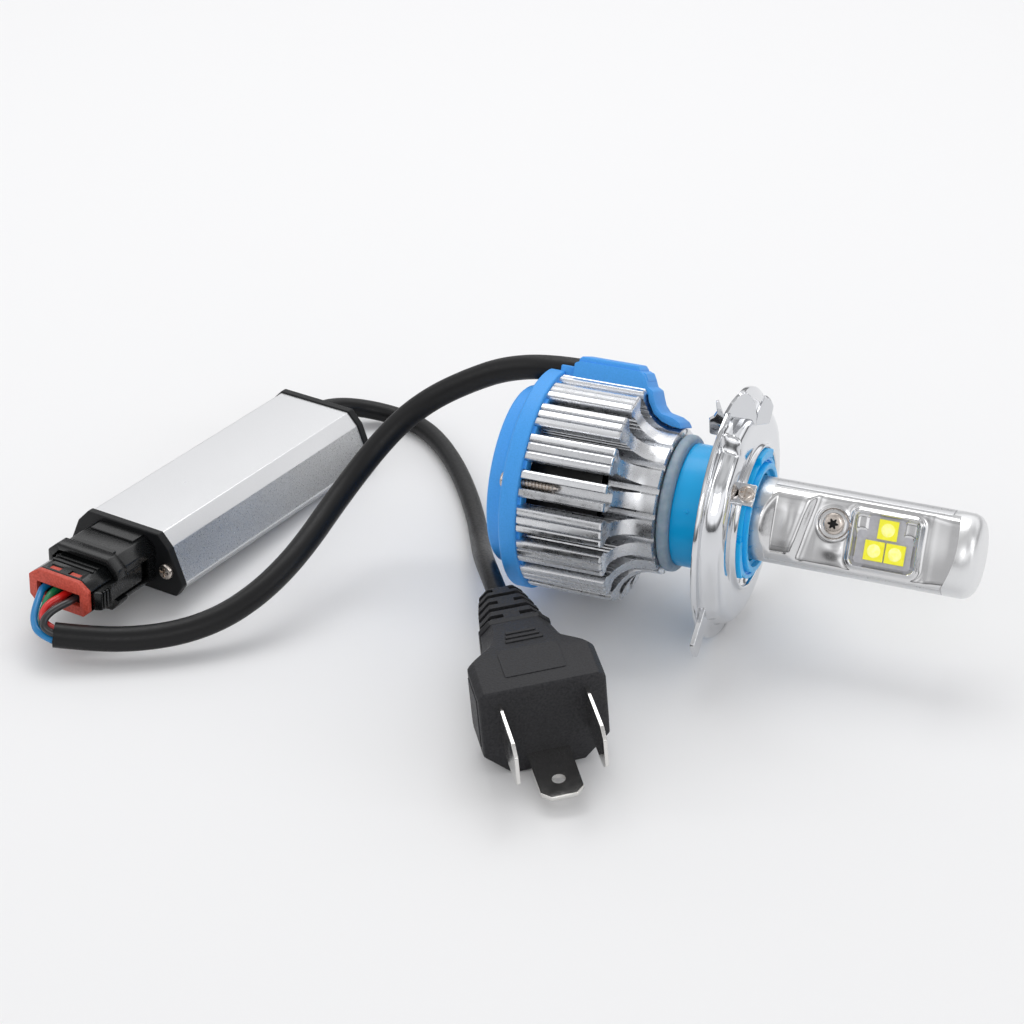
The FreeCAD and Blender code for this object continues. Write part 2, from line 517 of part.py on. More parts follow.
b = body("case_body")
p = along(b, "case_shell", [CASE, section_in()], 0.0, D["case_len"])
bind(p, "Length", "Sizes.case_len")
doc.recompute()
before = p.Shape.Volume
for k, y0 in enumerate((-0.2, D["case_len"] - 5.2)):
    q = along(b, "case_ports%d" % k, [("circle", 9.3, 4.3, 0.95), ("circle", -9.3, 4.3, 0.95)], y0, y0 + 5.4, "pocket")
    doc.recompute()
    if q.Shape.Volume > before - 0.05:
        q.Reversed = not q.Reversed
        doc.recompute()
    before = q.Shape.Volume
node("driver_case", b, DRV)

b = body("front_cap_body")
along(b, "front_plate", [section_out(0.25), ("circle", 9.3, 4.3, 0.85), ("circle", -9.3, 4.3, 0.85)], -1.6, 0.0)
along(b, "shroud", [[(-5.2, 9.8), (5.2, 9.8), (7.0, 8.2), (7.0, 2.6), (5.6, 1.0), (-5.6, 1.0), (-7.0, 2.6), (-7.0, 8.2)]], -10.2, -1.5)
along(b, "shroud_lip", [[(-5.4, 10.3), (5.4, 10.3), (7.5, 8.5), (7.5, 2.4), (5.9, 0.6), (-5.9, 0.6), (-7.5, 2.4), (-7.5, 8.5)]], -12.6, -10.1)
doc.recompute()
before = doc.getObject("shroud_lip").Shape.Volume
q = along(b, "socket", [[(-5.0, 8.95), (5.0, 8.95), (6.55, 7.5), (6.55, 3.2), (5.4, 1.95), (-5.4, 1.95), (-6.55, 3.2), (-6.55, 7.5)]], -12.8, -4.0, "pocket")
doc.recompute()
if q.Shape.Volume > before - 1:
    q.Reversed = not q.Reversed
doc.recompute()
before = q.Shape.Volume
# clearance for the latch lever along the shroud's side
q2 = along(b, "latch_gap", [[(6.4, 2.9), (6.4, 6.9), (9.0, 6.9), (9.0, 2.9)]], -12.8, -3.6, "pocket")
q2.Reversed = q.Reversed
pin_loops = [("circle", x, z, 0.5) for x, z in ((-3.6, 5.4), (-1.2, 5.4), (1.2, 5.4), (3.6, 5.4))]
q3 = along(b, "pin_holes", pin_loops, -5.0, 0.5, "pocket")
q3.Reversed = q.Reversed
doc.recompute()
node("front_cap", b, DRV)

b = body("rear_cap_body")
along(b, "rear_plate", [section_out(0.25), ("circle", 9.3, 4.3, 0.85), ("circle", -9.3, 4.3, 0.85), ("circle", -4.0, 5.3, 2.3)], D["case_len"], D["case_len"] + 1.6)
node("rear_cap", b, DRV)
L0 = D["case_len"] + 1.6
gl = fuse("gland_solid", [cyl("gland_neck", 2.28, 3.4, (-4.0, L0 - 2.4, 5.3), (0, 1, 0)), cyl("gland_flange", 3.2, 0.85, (-4.0, L0 - 2.5, 5.3), (0, 1, 0))])
gl_cone = doc.addObject("Part::Cone", "gland_cone")
gl_cone.Radius1, gl_cone.Radius2, gl_cone.Height = 2.9, 2.4, 1.0
gl_cone.Placement = FreeCAD.Placement(V(-4.0, L0 + 0.02, 5.3), FreeCAD.Rotation(V(0, 0, 1), V(0, 1, 0)))
node("gland", fuse("gland_all", [gl, gl_cone]), DRV)
sc = []
for i, (x, y, s) in enumerate(((9.3, -1.6, -1), (-9.3, -1.6, -1), (9.3, L0, 1), (-9.3, L0, 1))):
    sc.append(fuse("cap_screw_%d" % i, [cyl("cap_head_%d" % i, 1.45, 0.8, (x, y, 4.3), (0, s, 0)), cyl("cap_shank_%d" % i, 0.8, 5.0, (x, y + 0.02 * s, 4.3), (0, -s, 0))]))
node("cap_screws", group("cap_screw_set", sc), DRV)

# inside the driver box: board, choke, capacitors and chips
node("driver_pcb", box("driver_pcb_solid", (19.4, 47.6, 1.2), (-9.7, 4.2, 2.6)), DRV)
node("choke_core", cut("choke_core_solid", fuse("choke_spool", [cyl("choke_low", 4.0, 0.8, (-3.6, 16, 3.82)), cyl("choke_mid", 2.2, 4.0, (-3.6, 16, 4.0)), cyl("choke_top", 4.0, 0.8, (-3.6, 16, 7.8))]), [cyl("choke_eye", 0.8, 8, (-3.6, 16, 3))]), DRV)
node("choke_winding", cut("choke_winding_solid", cyl("wind_out", 3.7, 3.14, (-3.6, 16, 4.64)), [cyl("wind_in", 2.22, 5, (-3.6, 16, 4))]), DRV)
node("capacitors", group("capacitor_set", [cyl("cap_a", 2.5, 5.2, (3.8, 29, 3.82)), cyl("cap_b", 2.5, 5.2, (-3.0, 33, 3.82))]), DRV)
node("driver_chips", group("driver_chip_set", [box("chip_a", (5, 6, 1.5), (2.4, 14, 3.82)), box("chip_b", (4, 5, 1.4), (-4.5, 42, 3.82)), box("chip_c", (3, 3, 1.1), (4.5, 41, 3.82))]), DRV)
pins = []
for i, x in enumerate((-3.6, -1.2, 1.2, 3.6)):
    pins.append(fuse("pin_%d" % i, [cyl("pin_body_%d" % i, 0.45, 13.8, (x, -8.2, 5.4), (0, 1, 0)), box("pin_foot_%d" % i, (0.8, 0.8, 1.6), (x - 0.4, 4.8, 3.82))]))
node("receptacle_pins", group("receptacle_pin_set", pins), DRV)

# ---------------------------------------------------------------- four-way plug of the bulb lead
b = body("housing_body")
along(b, "housing_nose", [[(-4.7, 8.6), (4.7, 8.6), (6.2, 7.2), (6.2, 3.3), (5.2, 2.3), (-5.2, 2.3), (-6.2, 3.3), (-6.2, 7.2)]], -12.7, -4.4)
along(b, "housing_tail", [[(-4.3, "Sizes.housing_top"), (4.3, "Sizes.housing_top"), ("Sizes.housing_half", 7.2), ("Sizes.housing_half", 3.4), (5.2, "Sizes.housing_foot"), (-5.2, "Sizes.housing_foot"),
                           ("-1 * Sizes.housing_half", 3.4), ("-1 * Sizes.housing_half", 7.2)]], -18.2, -12.6)
doc.recompute()
before = doc.getObject("housing_tail").Shape.Volume
q = along(b, "wire_pocket", [[(-4.6, 6.7), (4.6, 6.7), (4.6, 4.1), (-4.6, 4.1)]], -18.6, -15.4, "pocket")
doc.recompute()
if q.Shape.Volume > before - 1:
    q.Reversed = not q.Reversed
rv = q.Reversed
q = along(b, "contact_holes", [("circle", x, 5.4, 0.98) for x in (-3.6, -1.2, 1.2, 3.6)], -15.6, -4.0, "pocket")
q.Reversed = rv
lt = pocket(b, "latch_slot", "XY_Plane", [[(5.0, -18.4), (5.0, -4.2), (7.4, -4.2), (7.4, -18.4)]], 3.9, offset=7.0)
doc.recompute()
if lt.Shape.Volume > q.Shape.Volume - 1:
    lt.Reversed = True
doc.recompute()
win = pocket(b, "windows", "XY_Plane", [[(-3.4, -17.6), (-3.4, -16.4), (-1.2, -16.4), (-1.2, -17.6)], [(1.2, -17.6), (1.2, -16.4), (3.4, -16.4), (3.4, -17.6)]], 1.95, offset=8.7)
doc.recompute()
if win.Shape.Volume > lt.Shape.Volume - 0.5:
    win.Reversed = True
doc.recompute()
b.Tip = win
node("plug_housing", b, DRV)
b = body("retainer_body")
along(b, "retainer_face", [[(-4.3, "Sizes.housing_top"), (4.3, "Sizes.housing_top"), ("Sizes.housing_half", 7.2), ("Sizes.housing_half", 3.4), (5.2, "Sizes.housing_foot"), (-5.2, "Sizes.housing_foot"),
                            ("-1 * Sizes.housing_half", 3.4), ("-1 * Sizes.housing_half", 7.2)], [(-4.5, 6.2), (4.5, 6.2), (4.5, 4.3), (-4.5, 4.3)]], -19.3, -18.25)
along(b, "retainer_tongue", [[(-4.5, 6.65), (4.5, 6.65), (4.5, 6.25), (-4.5, 6.25)]], -18.3, -15.9)
doc.recompute()
node("wire_retainer", b, DRV)
terms = []
for i, x in enumerate((-3.6, -1.2, 1.2, 3.6)):
    terms.append(cut("terminal_%d" % i, cyl("terminal_out_%d" % i, 0.93, 9.0, (x, -14.6, 5.4), (0, 1, 0)), [cyl("terminal_in_%d" % i, 0.5, 8.4, (x, -13.4, 5.4), (0, 1, 0))]))
node("plug_terminals", group("terminal_set", terms), DRV)
b = body("latch_body")
# latch lever: a bar pivoted near the housing's rear, its finger end stands a little proud, its hook at the shroud
pad(b, "latch_bar", "XY_Plane", [[(5.45, -4.9), (5.45, -13.4), (5.45, -17.6), (6.6, -17.9), (7.7, -17.4), (7.9, -15.2), (7.3, -14.2), (7.1, -12.4), (7.0, -5.6), (6.4, -4.9)]], 3.3, offset=3.4)
doc.recompute()
node("latch_lever", b, DRV)


# ---------------------------------------------------------------- cords
def smooth(points):
    """Straight runs joined by tangent arcs; each arc takes 0.45 of its shorter run."""
    P = [V(*p) for p in points]
    edges, radii = [], []
    start = P[0]
    for i in range(1, len(P) - 1):
        a, c = P[i] - P[i - 1], P[i + 1] - P[i]
        t = 0.45 * min(a.Length, c.Length)
        ua, uc = V(a).normalize(), V(c).normalize()
        turn = ua.getAngle(uc)
        p0, p1 = P[i] - ua * t, P[i] + uc * t
        rad = t / math.tan(turn / 2)
        bis = V(uc - ua).normalize()
        centre = P[i] + bis * (rad / math.cos(turn / 2))
        mid = centre - bis * rad
        if (p0 - start).Length > 1e-6:
            edges.append(Part.LineSegment(start, p0).toShape())
        edges.append(Part.Arc(p0, mid, p1).toShape())
        radii.append(round(rad, 1))
        start = p1
    edges.append(Part.LineSegment(start, P[-1]).toShape())
    return Part.Wire(edges), radii


def tube(name, points, d):
    wire, radii = smooth(points)
    first = wire.OrderedEdges[0] if hasattr(wire, "OrderedEdges") else wire.Edges[0]
    t = (V(*points[1]) - V(*points[0])).normalize()
    prof = Part.Wire([Part.Circle(V(*points[0]), t, d / 2).toShape()])
    solid = wire.makePipeShell([prof], True, True, 0)
    if not isinstance(solid, Part.Solid) and solid.Solids:
        solid = solid.Solids[0]
    ideal = math.pi * d * d / 4 * wire.Length
    print(name, "length %.1f mm" % wire.Length, "radii", radii, "volume ratio %.4f" % (solid.Volume / ideal), "valid", solid.isValid())
    f = doc.addObject("Part::Feature", name)
    f.Shape = solid
    f.Placement = FreeCAD.Placement()
    NODES[name] = f
    f.Label = name
    return f


def on_drv(x, y, z):
    p = DRV.multVec(V(x, y, z))
    return (p.x, p.y, p.z)


def on_bulb(x, y, z):
    p = ROLL.multVec(V(x, y, z))
    return (p.x, p.y, p.z)


# three-blade plug; local x across, y back towards the boot, z up, origin at the centre of the front face
PLUG = FreeCAD.Placement(V(-13.256, -53.143, -12.786), FreeCAD.Rotation(V(0, 0, 1), 33.0).multiply(FreeCAD.Rotation(V(1, 0, 0), 4.13)).multiply(FreeCAD.Rotation(V(0, 1, 0), -5.52)))
b = body("plug_solid_body")


def plug_section(w2, up, dn, c_top, c_low):
    return [(-w2 + c_top, up), (w2 - c_top, up), (w2, up - c_top), (w2, dn + c_low), (w2 - c_low, dn), (-w2 + c_low, dn), (-w2, dn + c_low), (-w2, up - c_top)]


sk1 = poly(b, "plug_s1", "XZ_Plane", [plug_section(9.95, 8.15, -8.15, 0.35, 4.2)])
sk2 = poly(b, "plug_s2", "XZ_Plane", [plug_section(9.95, 8.15, -8.15, 0.35, 4.2)])
sk2.AttachmentOffset = FreeCAD.Placement(V(0, 0, -8.4), FreeCAD.Rotation())
sk3 = poly(b, "plug_s3", "XZ_Plane", [plug_section(7.4, 7.6, -7.2, 0.8, 3.0)])
sk3.AttachmentOffset = FreeCAD.Placement(V(0, 0, -12.0), FreeCAD.Rotation())
sk4 = poly(b, "plug_s4", "XZ_Plane", [plug_section(5.4, 5.0, -4.6, 1.6, 1.8)])
sk4.AttachmentOffset = FreeCAD.Placement(V(0, 0, -21.5), FreeCAD.Rotation())
sk5 = poly(b, "plug_s5", "XZ_Plane", [plug_section(4.9, 4.5, -4.2, 1.8, 1.8)])
sk5.AttachmentOffset = FreeCAD.Placement(V(0, 0, -27.0), FreeCAD.Rotation())
sk6 = poly(b, "plug_s6", "XZ_Plane", [plug_section(3.4, 3.3, -3.0, 1.4, 1.4)])
sk6.AttachmentOffset = FreeCAD.Placement(V(0, 0, -33.0), FreeCAD.Rotation())
lo = b.newObject("PartDesign::AdditiveLoft", "plug_loft")
lo.Profile = sk1
lo.Sections = [sk2, sk3, sk4, sk5, sk6]
lo.Ruled = True
doc.recompute()
before = lo.Shape.Volume
bp = pocket(b, "blade_seats", "XZ_Plane", [[(-7.42, 5.4), (-6.58, 5.4), (-6.58, -1.7), (-7.42, -1.7)], [(6.58, 5.4), (7.42, 5.4), (7.42, -1.7), (6.58, -1.7)], [(-3.52, -4.7), (3.52, -4.7), (3.52, -5.54), (-3.52, -5.54)]], 4.0)
doc.recompute()
if bp.Shape.Volume > before - 1:
    bp.Reversed = not bp.Reversed
doc.recompute()
before = bp.Shape.Volume
cb = pocket(b, "cable_seat", "XZ_Plane", [("circle", 0, 0.1, 1.78)], 5.0, offset=-33.2)
doc.recompute()
if cb.Shape.Volume > before - 1:
    cb.Reversed = not cb.Reversed
doc.recompute()
b.Tip = cb
node("plug_body", b, PLUG)
bl = []
for i, s in enumerate((-1, 1)):
    bb = body("upright_blade_%d" % i)
    pad(bb, "upright_%d" % i, "YZ_Plane", [[(3.9, 5.35), (-9.6, 5.35), (-11.0, 4.3), (-11.0, -0.6), (-9.6, -1.65), (3.9, -1.65)]], "Sizes.blade_t", mid=True, offset=7.0 * s)
    bl.append(bb)
bb = body("flat_blade")
pad(bb, "flat_blade_sheet", "XY_Plane", [[(-3.5, 3.9), (-3.5, -9.7), (-2.2, -11.0), (2.2, -11.0), (3.5, -9.7), (3.5, 3.9)], ("circle", 0, -7.0, 1.1)], "Sizes.blade_t", mid=True, offset=-5.12)
bl.append(bb)
node("plug_blades", group("plug_blade_set", bl), PLUG)

# bulb lead: from the channel on the bulb over the open floor to the cut end of its sheath beside the four-way plug
LEAD = [on_bulb(-26.25, 0, D["lead_z"]), on_bulb(-34.2, 0, D["lead_z"]), (-43.39, 9.16, 14.87), (-50.74, 8.91, 10.98), (-56.80, 7.52, 7.24), (-61.41, 4.81, 3.35), (-64.74, 0.89, -0.82), (-67.06, -4.50, -4.53),
        (-68.46, -11.14, -7.30), (-69.32, -18.27, -9.59), (-70.67, -25.28, -11.72), (-73.09, -31.77, -13.88), (-76.76, -37.45, -15.83), (-81.72, -42.23, -17.05), (-87.72, -46.20, -17.44),
        (-94.39, -49.49, -17.16), (-101.20, -51.96, -16.28)]
# input lead: from the gland of the driver box, under the bulb lead, past the rear cover into the plug's boot
G = on_drv(-4.0, D["case_len"] + 2.64, 5.3)


def on_plug(x, y, z):
    p = PLUG.multVec(V(x, y, z))
    return (p.x, p.y, p.z)


INPUT = [G, on_drv(-4.0, D["case_len"] + 6.1, 5.3), (-89.92, 40.37, -17.05), (-85.79, 43.66, -18.34), (-80.18, 44.92, -19.39), (-73.73, 43.33, -19.70), (-67.13, 37.60, -19.70), (-60.75, 29.59, -19.70),
         (-55.17, 21.04, -19.70), (-50.65, 12.87, -19.36), (-47.02, 5.13, -18.06), (-43.71, -2.45, -15.61), (-40.21, -9.97, -12.71), (-36.43, -17.07, -10.61), on_plug(0, 36.2, 0.1), on_plug(0, 31.8, 0.1)]
tube("bulb_lead", LEAD, D["lead_d"])
tube("input_lead", INPUT, D["input_d"])

# cores between the four-way plug and the sheath's cut end: each leaves its cavity straight, bows out and turns into the sheath
CORES = {
    "wire_blue": [on_drv(-3.6, -14.64, 5.35), (-107.30, -44.07, -12.76), (-106.80, -46.06, -13.12), (-106.27, -48.81, -14.07), (-105.55, -50.93, -15.03), (-103.91, -52.69, -16.18), (-101.05, -52.62, -16.95)],
    "wire_green": [on_drv(-1.2, -14.64, 5.35), (-104.95, -44.53, -12.76), (-105.13, -46.15, -13.15), (-105.01, -48.30, -14.15), (-104.57, -49.94, -15.14), (-103.44, -51.33, -16.27), (-101.50, -51.36, -16.95)],
    "wire_red": [on_drv(1.2, -14.64, 5.35), (-102.59, -44.99, -12.76), (-104.01, -47.89, -12.95), (-104.22, -49.90, -13.64), (-103.76, -50.90, -14.35), (-102.67, -51.45, -15.16), (-101.35, -51.30, -15.61)],
    "wire_black": [on_drv(3.6, -14.64, 5.35), (-100.24, -45.45, -12.76), (-102.30, -49.54, -12.91), (-102.95, -51.81, -13.61), (-102.74, -52.64, -14.34), (-101.93, -52.84, -15.17), (-100.90, -52.56, -15.61)],
}
for nm, route in CORES.items():
    tube(nm, route, D["wire_d"])

# ---------------------------------------------------------------- checks and export
doc.recompute()
bad = [o.Name + ":" + ",".join(o.State) for o in doc.Objects if "Invalid" in o.State or "Error" in o.State]
if bad:
    raise SystemExit("objects failed: " + "; ".join(bad))
for name, obj in NODES.items():
    sh = obj.Shape
    if sh.isNull() or not sh.isValid():
        raise SystemExit("shape of %s is null or invalid" % name)
    if not sh.Solids:
        raise SystemExit("shape of %s has no solid" % name)
os.makedirs("parts", exist_ok=True)
for old in os.listdir("parts"):
    if old.endswith(".step") and old[:-5] not in NODES:
        os.remove(os.path.join("parts", old))
for name, obj in NODES.items():
    bb = obj.Shape.BoundBox
    print("%-18s solids %d vol %9.2f  x %.1f..%.1f y %.1f..%.1f z %.1f..%.1f" % (name, len(obj.Shape.Solids), obj.Shape.Volume, bb.XMin, bb.XMax, bb.YMin, bb.YMax, bb.ZMin, bb.ZMax))
    obj.Shape.exportStep("parts/%s.step" % name)
print(len(NODES), "nodes")
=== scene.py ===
import bpy
import bmesh
import math
from mathutils import Vector, Matrix, noise


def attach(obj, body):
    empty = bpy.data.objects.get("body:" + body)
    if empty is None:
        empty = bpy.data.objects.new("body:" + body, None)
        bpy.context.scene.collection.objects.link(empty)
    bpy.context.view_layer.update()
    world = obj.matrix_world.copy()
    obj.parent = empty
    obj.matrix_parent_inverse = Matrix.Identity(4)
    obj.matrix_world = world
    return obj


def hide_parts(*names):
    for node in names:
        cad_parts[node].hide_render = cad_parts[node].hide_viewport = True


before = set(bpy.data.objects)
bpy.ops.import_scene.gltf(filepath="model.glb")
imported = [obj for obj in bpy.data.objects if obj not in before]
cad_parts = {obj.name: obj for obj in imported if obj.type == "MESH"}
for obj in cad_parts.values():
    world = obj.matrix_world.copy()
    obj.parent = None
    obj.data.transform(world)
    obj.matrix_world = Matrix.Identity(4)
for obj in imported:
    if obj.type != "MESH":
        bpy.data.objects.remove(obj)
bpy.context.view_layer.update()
MM = 0.001
rad = math.radians
scene = bpy.context.scene

ROLL = Matrix.Rotation(rad(-26), 4, "X")
FLANGE = Matrix.Rotation(rad(3), 4, "X")
DRV = Matrix.Translation((-100.19, -26.34, -18.80)) @ Matrix.Rotation(rad(-11), 4, "Z") @ Matrix.Rotation(rad(-2.4), 4, "X")
PLUG = Matrix.Translation((-13.256, -53.143, -12.786)) @ Matrix.Rotation(rad(33), 4, "Z") @ Matrix.Rotation(rad(4.13), 4, "X") @ Matrix.Rotation(rad(-5.52), 4, "Y")


# ------------------------------------------------------------------ materials
def material(name, color, rough=0.5, metal=0.0, **kw):
    m = bpy.data.materials.new(name)
    m.use_nodes = True
    b = m.node_tree.nodes["Principled BSDF"]
    b.inputs["Base Color"].default_value = (*color, 1)
    b.inputs["Roughness"].default_value = rough
    b.inputs["Metallic"].default_value = metal
    for k, v in kw.items():
        b.inputs[k].default_value = v
    return m


def nodes_of(m):
    return m.node_tree.nodes, m.node_tree.links, m.node_tree.nodes["Principled BSDF"]


def add_noise(m, scale, strength, detail=3.0, stretch=(1, 1, 1), distance=0.0002, rough=None, color=None, chain=None, kind="NOISE", voronoi=False):
    """Noise into the bump, and if asked into roughness and colour; returns the bump node so that more can be chained."""
    n, l, b = nodes_of(m)
    tc = n.new("ShaderNodeTexCoord")
    mp = n.new("ShaderNodeMapping")
    mp.inputs["Scale"].default_value = stretch
    l.new(tc.outputs["Object"], mp.inputs["Vector"])
    if voronoi:
        t = n.new("ShaderNodeTexVoronoi")
        t.inputs["Scale"].default_value = scale
        out = t.outputs["Distance"]
    else:
        t = n.new("ShaderNodeTexNoise")
        t.inputs["Scale"].default_value = scale
        t.inputs["Detail"].default_value = detail
        out = t.outputs["Fac"]
    l.new(mp.outputs["Vector"], t.inputs["Vector"])
    bu = n.new("ShaderNodeBump")
    bu.inputs["Strength"].default_value = strength
    bu.inputs["Distance"].default_value = distance
    l.new(out, bu.inputs["Height"])
    if chain is not None:
        l.new(chain.outputs["Normal"], bu.inputs["Normal"])
    l.new(bu.outputs["Normal"], b.inputs["Normal"])
    if rough:
        r = n.new("ShaderNodeMapRange")
        r.inputs["From Min"].default_value = 0.3
        r.inputs["From Max"].default_value = 0.7
        r.inputs["To Min"].default_value = rough[0]
        r.inputs["To Max"].default_value = rough[1]
        l.new(out, r.inputs["Value"])
        l.new(r.outputs["Result"], b.inputs["Roughness"])
    if color:
        c = n.new("ShaderNodeValToRGB")
        c.color_ramp.elements[0].position = 0.3
        c.color_ramp.elements[1].position = 0.7
        c.color_ramp.elements[0].color = (*color[0], 1)
        c.color_ramp.elements[1].color = (*color[1], 1)
        l.new(out, c.inputs["Fac"])
        l.new(c.outputs["Color"], b.inputs["Base Color"])
    return bu


chrome = material("chrome_stamped", (0.70, 0.71, 0.73), 0.09, 1.0)
bu = add_noise(chrome, 110, 0.16, 1.0, distance=0.0004)
add_noise(chrome, 900, 0.04, 2.0, distance=0.00003, rough=(0.05, 0.11), chain=bu)

polished = material("polished_plate", (0.70, 0.70, 0.705), 0.12, 1.0)
bu = add_noise(polished, 220, 0.12, 1.0, distance=0.0002)
add_noise(polished, 1500, 0.03, 2.0, (0.35, 1, 1), distance=0.00003, rough=(0.10, 0.17), chain=bu)

screw = material("screw_steel", (0.62, 0.56, 0.51), 0.24, 1.0)
add_noise(screw, 1500, 0.15, 3.0, distance=0.00006, rough=(0.16, 0.34))

sink = material("machined_aluminium", (0.74, 0.75, 0.77), 0.27, 1.0)
bu = add_noise(sink, 2400, 0.10, 3.0, (0.02, 1, 1), distance=0.00003)
add_noise(sink, 900, 0.05, 2.0, distance=0.00003, rough=(0.22, 0.34), chain=bu)

post_m = material("post_aluminium", (0.66, 0.665, 0.675), 0.28, 1.0)
bu = add_noise(post_m, 3000, 0.10, 3.0, (1, 0.06, 0.06), distance=0.00004)
add_noise(post_m, 2400, 0.10, 3.0, distance=0.00004, rough=(0.26, 0.38), chain=bu)

tip_m = material("tip_aluminium", (0.78, 0.785, 0.79), 0.30, 1.0)
add_noise(tip_m, 4200, 0.12, 3.0, distance=0.00005, rough=(0.28, 0.40))

case_m = material("case_aluminium", (0.74, 0.745, 0.755), 0.34, 1.0)
bu = add_noise(case_m, 4200, 0.30, 1.0, distance=0.00006)
add_noise(case_m, 120, 0.02, 2.0, (1, 0.35, 1), distance=0.0001, rough=(0.27, 0.34), chain=bu)

# driver case sides: real coarse grain, and a darker tone than the top that is painted shade standing for a dark
# reflection
side_grain_and_shade_m = material("case_side_grain_and_painted_shade", (0.50, 0.51, 0.53), 0.30, 1.0)
add_noise(side_grain_and_shade_m, 4600, 0.60, 2.0, distance=0.00009, rough=(0.26, 0.38), color=((0.56, 0.57, 0.58), (0.76, 0.77, 0.78)))
blue_gloss = material("collar_blue", (0.0, 0.42, 0.86), 0.34, 0.0, **{"Coat Weight": 0.12, "Coat Roughness": 0.2, "Specular IOR Level": 0.35})
add_noise(blue_gloss, 2600, 0.08, 3.0, distance=0.00004, rough=(0.28, 0.40))
blue_matte = material("cover_blue", (0.05, 0.32, 0.80), 0.52)
add_noise(blue_matte, 3800, 0.32, 3.0, distance=0.00008, rough=(0.46, 0.60), color=((0.040, 0.320, 0.80), (0.060, 0.365, 0.90)))
seal_m = material("seal_silicone", (0.34, 0.46, 0.56), 0.40, 0.0, **{"Subsurface Weight": 0.35, "Subsurface Scale": 0.002, "Transmission Weight": 0.25, "IOR": 1.41})
add_noise(seal_m, 900, 0.15, 3.0, distance=0.00006, color=((0.32, 0.44, 0.55), (0.44, 0.55, 0.64)))

board_m = material("board_white", (0.52, 0.52, 0.56), 0.45)
add_noise(board_m, 1500, 0.05, 3.0, distance=0.00004, color=((0.48, 0.48, 0.52), (0.56, 0.56, 0.60)))
# LED phosphor and dome: their emission is a painted glow, as the LEDs are not lit
chip_glow_m = material("led_phosphor", (0.88, 0.84, 0.02), 0.35, 0.0, **{"Coat Weight": 0.35, "Coat Roughness": 0.2, "Emission Color": (0.95, 0.90, 0.02, 1), "Emission Strength": 0.20})
add_noise(chip_glow_m, 1300, 0.10, 2.0, distance=0.00006, color=((0.84, 0.78, 0.01), (0.93, 0.90, 0.06)))
dome_glow_m = material("led_dome_painted_glow", (0.95, 0.93, 0.30), 0.30, 0.0, **{"Coat Weight": 0.5, "Coat Roughness": 0.12, "Emission Color": (1.0, 0.98, 0.35, 1), "Emission Strength": 0.28})
add_noise(dome_glow_m, 1500, 0.12, 2.0, distance=0.00006, color=((0.90, 0.88, 0.12), (0.99, 0.98, 0.42)))

fan_m = material("fan_black", (0.006, 0.006, 0.0065), 0.38, 0.0, **{"Specular IOR Level": 0.25})
add_noise(fan_m, 2500, 0.08, 2.0, distance=0.00004)
cap_m = material("cap_black", (0.007, 0.0075, 0.0085), 0.42, 0.0, **{"Specular IOR Level": 0.25})
add_noise(cap_m, 3400, 0.28, 3.0, distance=0.00008, rough=(0.36, 0.50))
conn_m = material("connector_black", (0.005, 0.0055, 0.006), 0.27, 0.0, **{"Specular IOR Level": 0.32, "Coat Weight": 0.15, "Coat Roughness": 0.2})
add_noise(conn_m, 2600, 0.12, 3.0, distance=0.00005, rough=(0.22, 0.34))
conn_top = material("connector_top", (0.010, 0.011, 0.012), 0.46, 0.0, **{"Specular IOR Level": 0.3})
add_noise(conn_top, 4200, 0.30, 3.0, distance=0.00008, rough=(0.40, 0.54))
red_m = material("retainer_red", (0.50, 0.055, 0.03), 0.55)
add_noise(red_m, 2600, 0.45, 4.0, distance=0.00012, color=((0.42, 0.04, 0.02), (0.62, 0.09, 0.055)))
plug_m = material("plug_black", (0.026, 0.026, 0.028), 0.50, 0.0, **{"Specular IOR Level": 0.22})
add_noise(plug_m, 2600, 0.55, 2.0, distance=0.00014, rough=(0.42, 0.62), color=((0.016, 0.016, 0.018), (0.036, 0.036, 0.039)))
boot_m = material("boot_black", (0.014, 0.014, 0.016), 0.46, 0.0, **{"Specular IOR Level": 0.25})
add_noise(boot_m, 3000, 0.15, 3.0, distance=0.00006)
gland_m = material("gland_rubber", (0.005, 0.005, 0.0055), 0.55, 0.0, **{"Specular IOR Level": 0.25})
add_noise(gland_m, 2500, 0.15, 3.0, distance=0.00006)
tin_m = material("tinned_blade", (0.74, 0.73, 0.71), 0.13, 1.0)
add_noise(tin_m, 500, 0.05, 2.0, distance=0.00005, rough=(0.09, 0.17))
cord_m = material("cord_sheath", (0.005, 0.005, 0.0056), 0.40, 0.0, **{"Specular IOR Level": 0.3})
bu = add_noise(cord_m, 2200, 0.10, 3.0, distance=0.00005, rough=(0.34, 0.50))
core_mats = {}
for cname, ccol in (("blue", (0.004, 0.20, 0.48)), ("green", (0.004, 0.20, 0.075)), ("red", (0.62, 0.012, 0.010)), ("black", (0.012, 0.012, 0.014))):
    core_mats[cname] = material("core_" + cname, ccol, 0.30, 0.0, **{"Coat Weight": 0.3, "Coat Roughness": 0.15})
    add_noise(core_mats[cname], 1800, 0.06, 2.0, distance=0.00004)

# near-black: painted shade at the foot of screw recesses and in the tip cap's core; also the fan board's own black
black_pcb_and_shade_m = material("black_pcb_and_painted_shade", (0.004, 0.004, 0.005), 0.7)
green_pcb = material("pcb_green", (0.012, 0.14, 0.045), 0.35)
brass_m = material("bearing_brass", (0.72, 0.50, 0.22), 0.3, 1.0)
steel_m = material("stator_steel", (0.33, 0.34, 0.36), 0.4, 1.0)
copper_m = material("copper_wire", (0.72, 0.30, 0.12), 0.28, 1.0)
add_noise(copper_m, 2600, 0.4, 1.0, (8, 1, 1), distance=0.0001)
ferrite_m = material("ferrite", (0.05, 0.05, 0.055), 0.6)
chipb_m = material("chip_black", (0.02, 0.02, 0.02), 0.5)
sleeve_m = material("capacitor_sleeve", (0.03, 0.04, 0.07), 0.3)

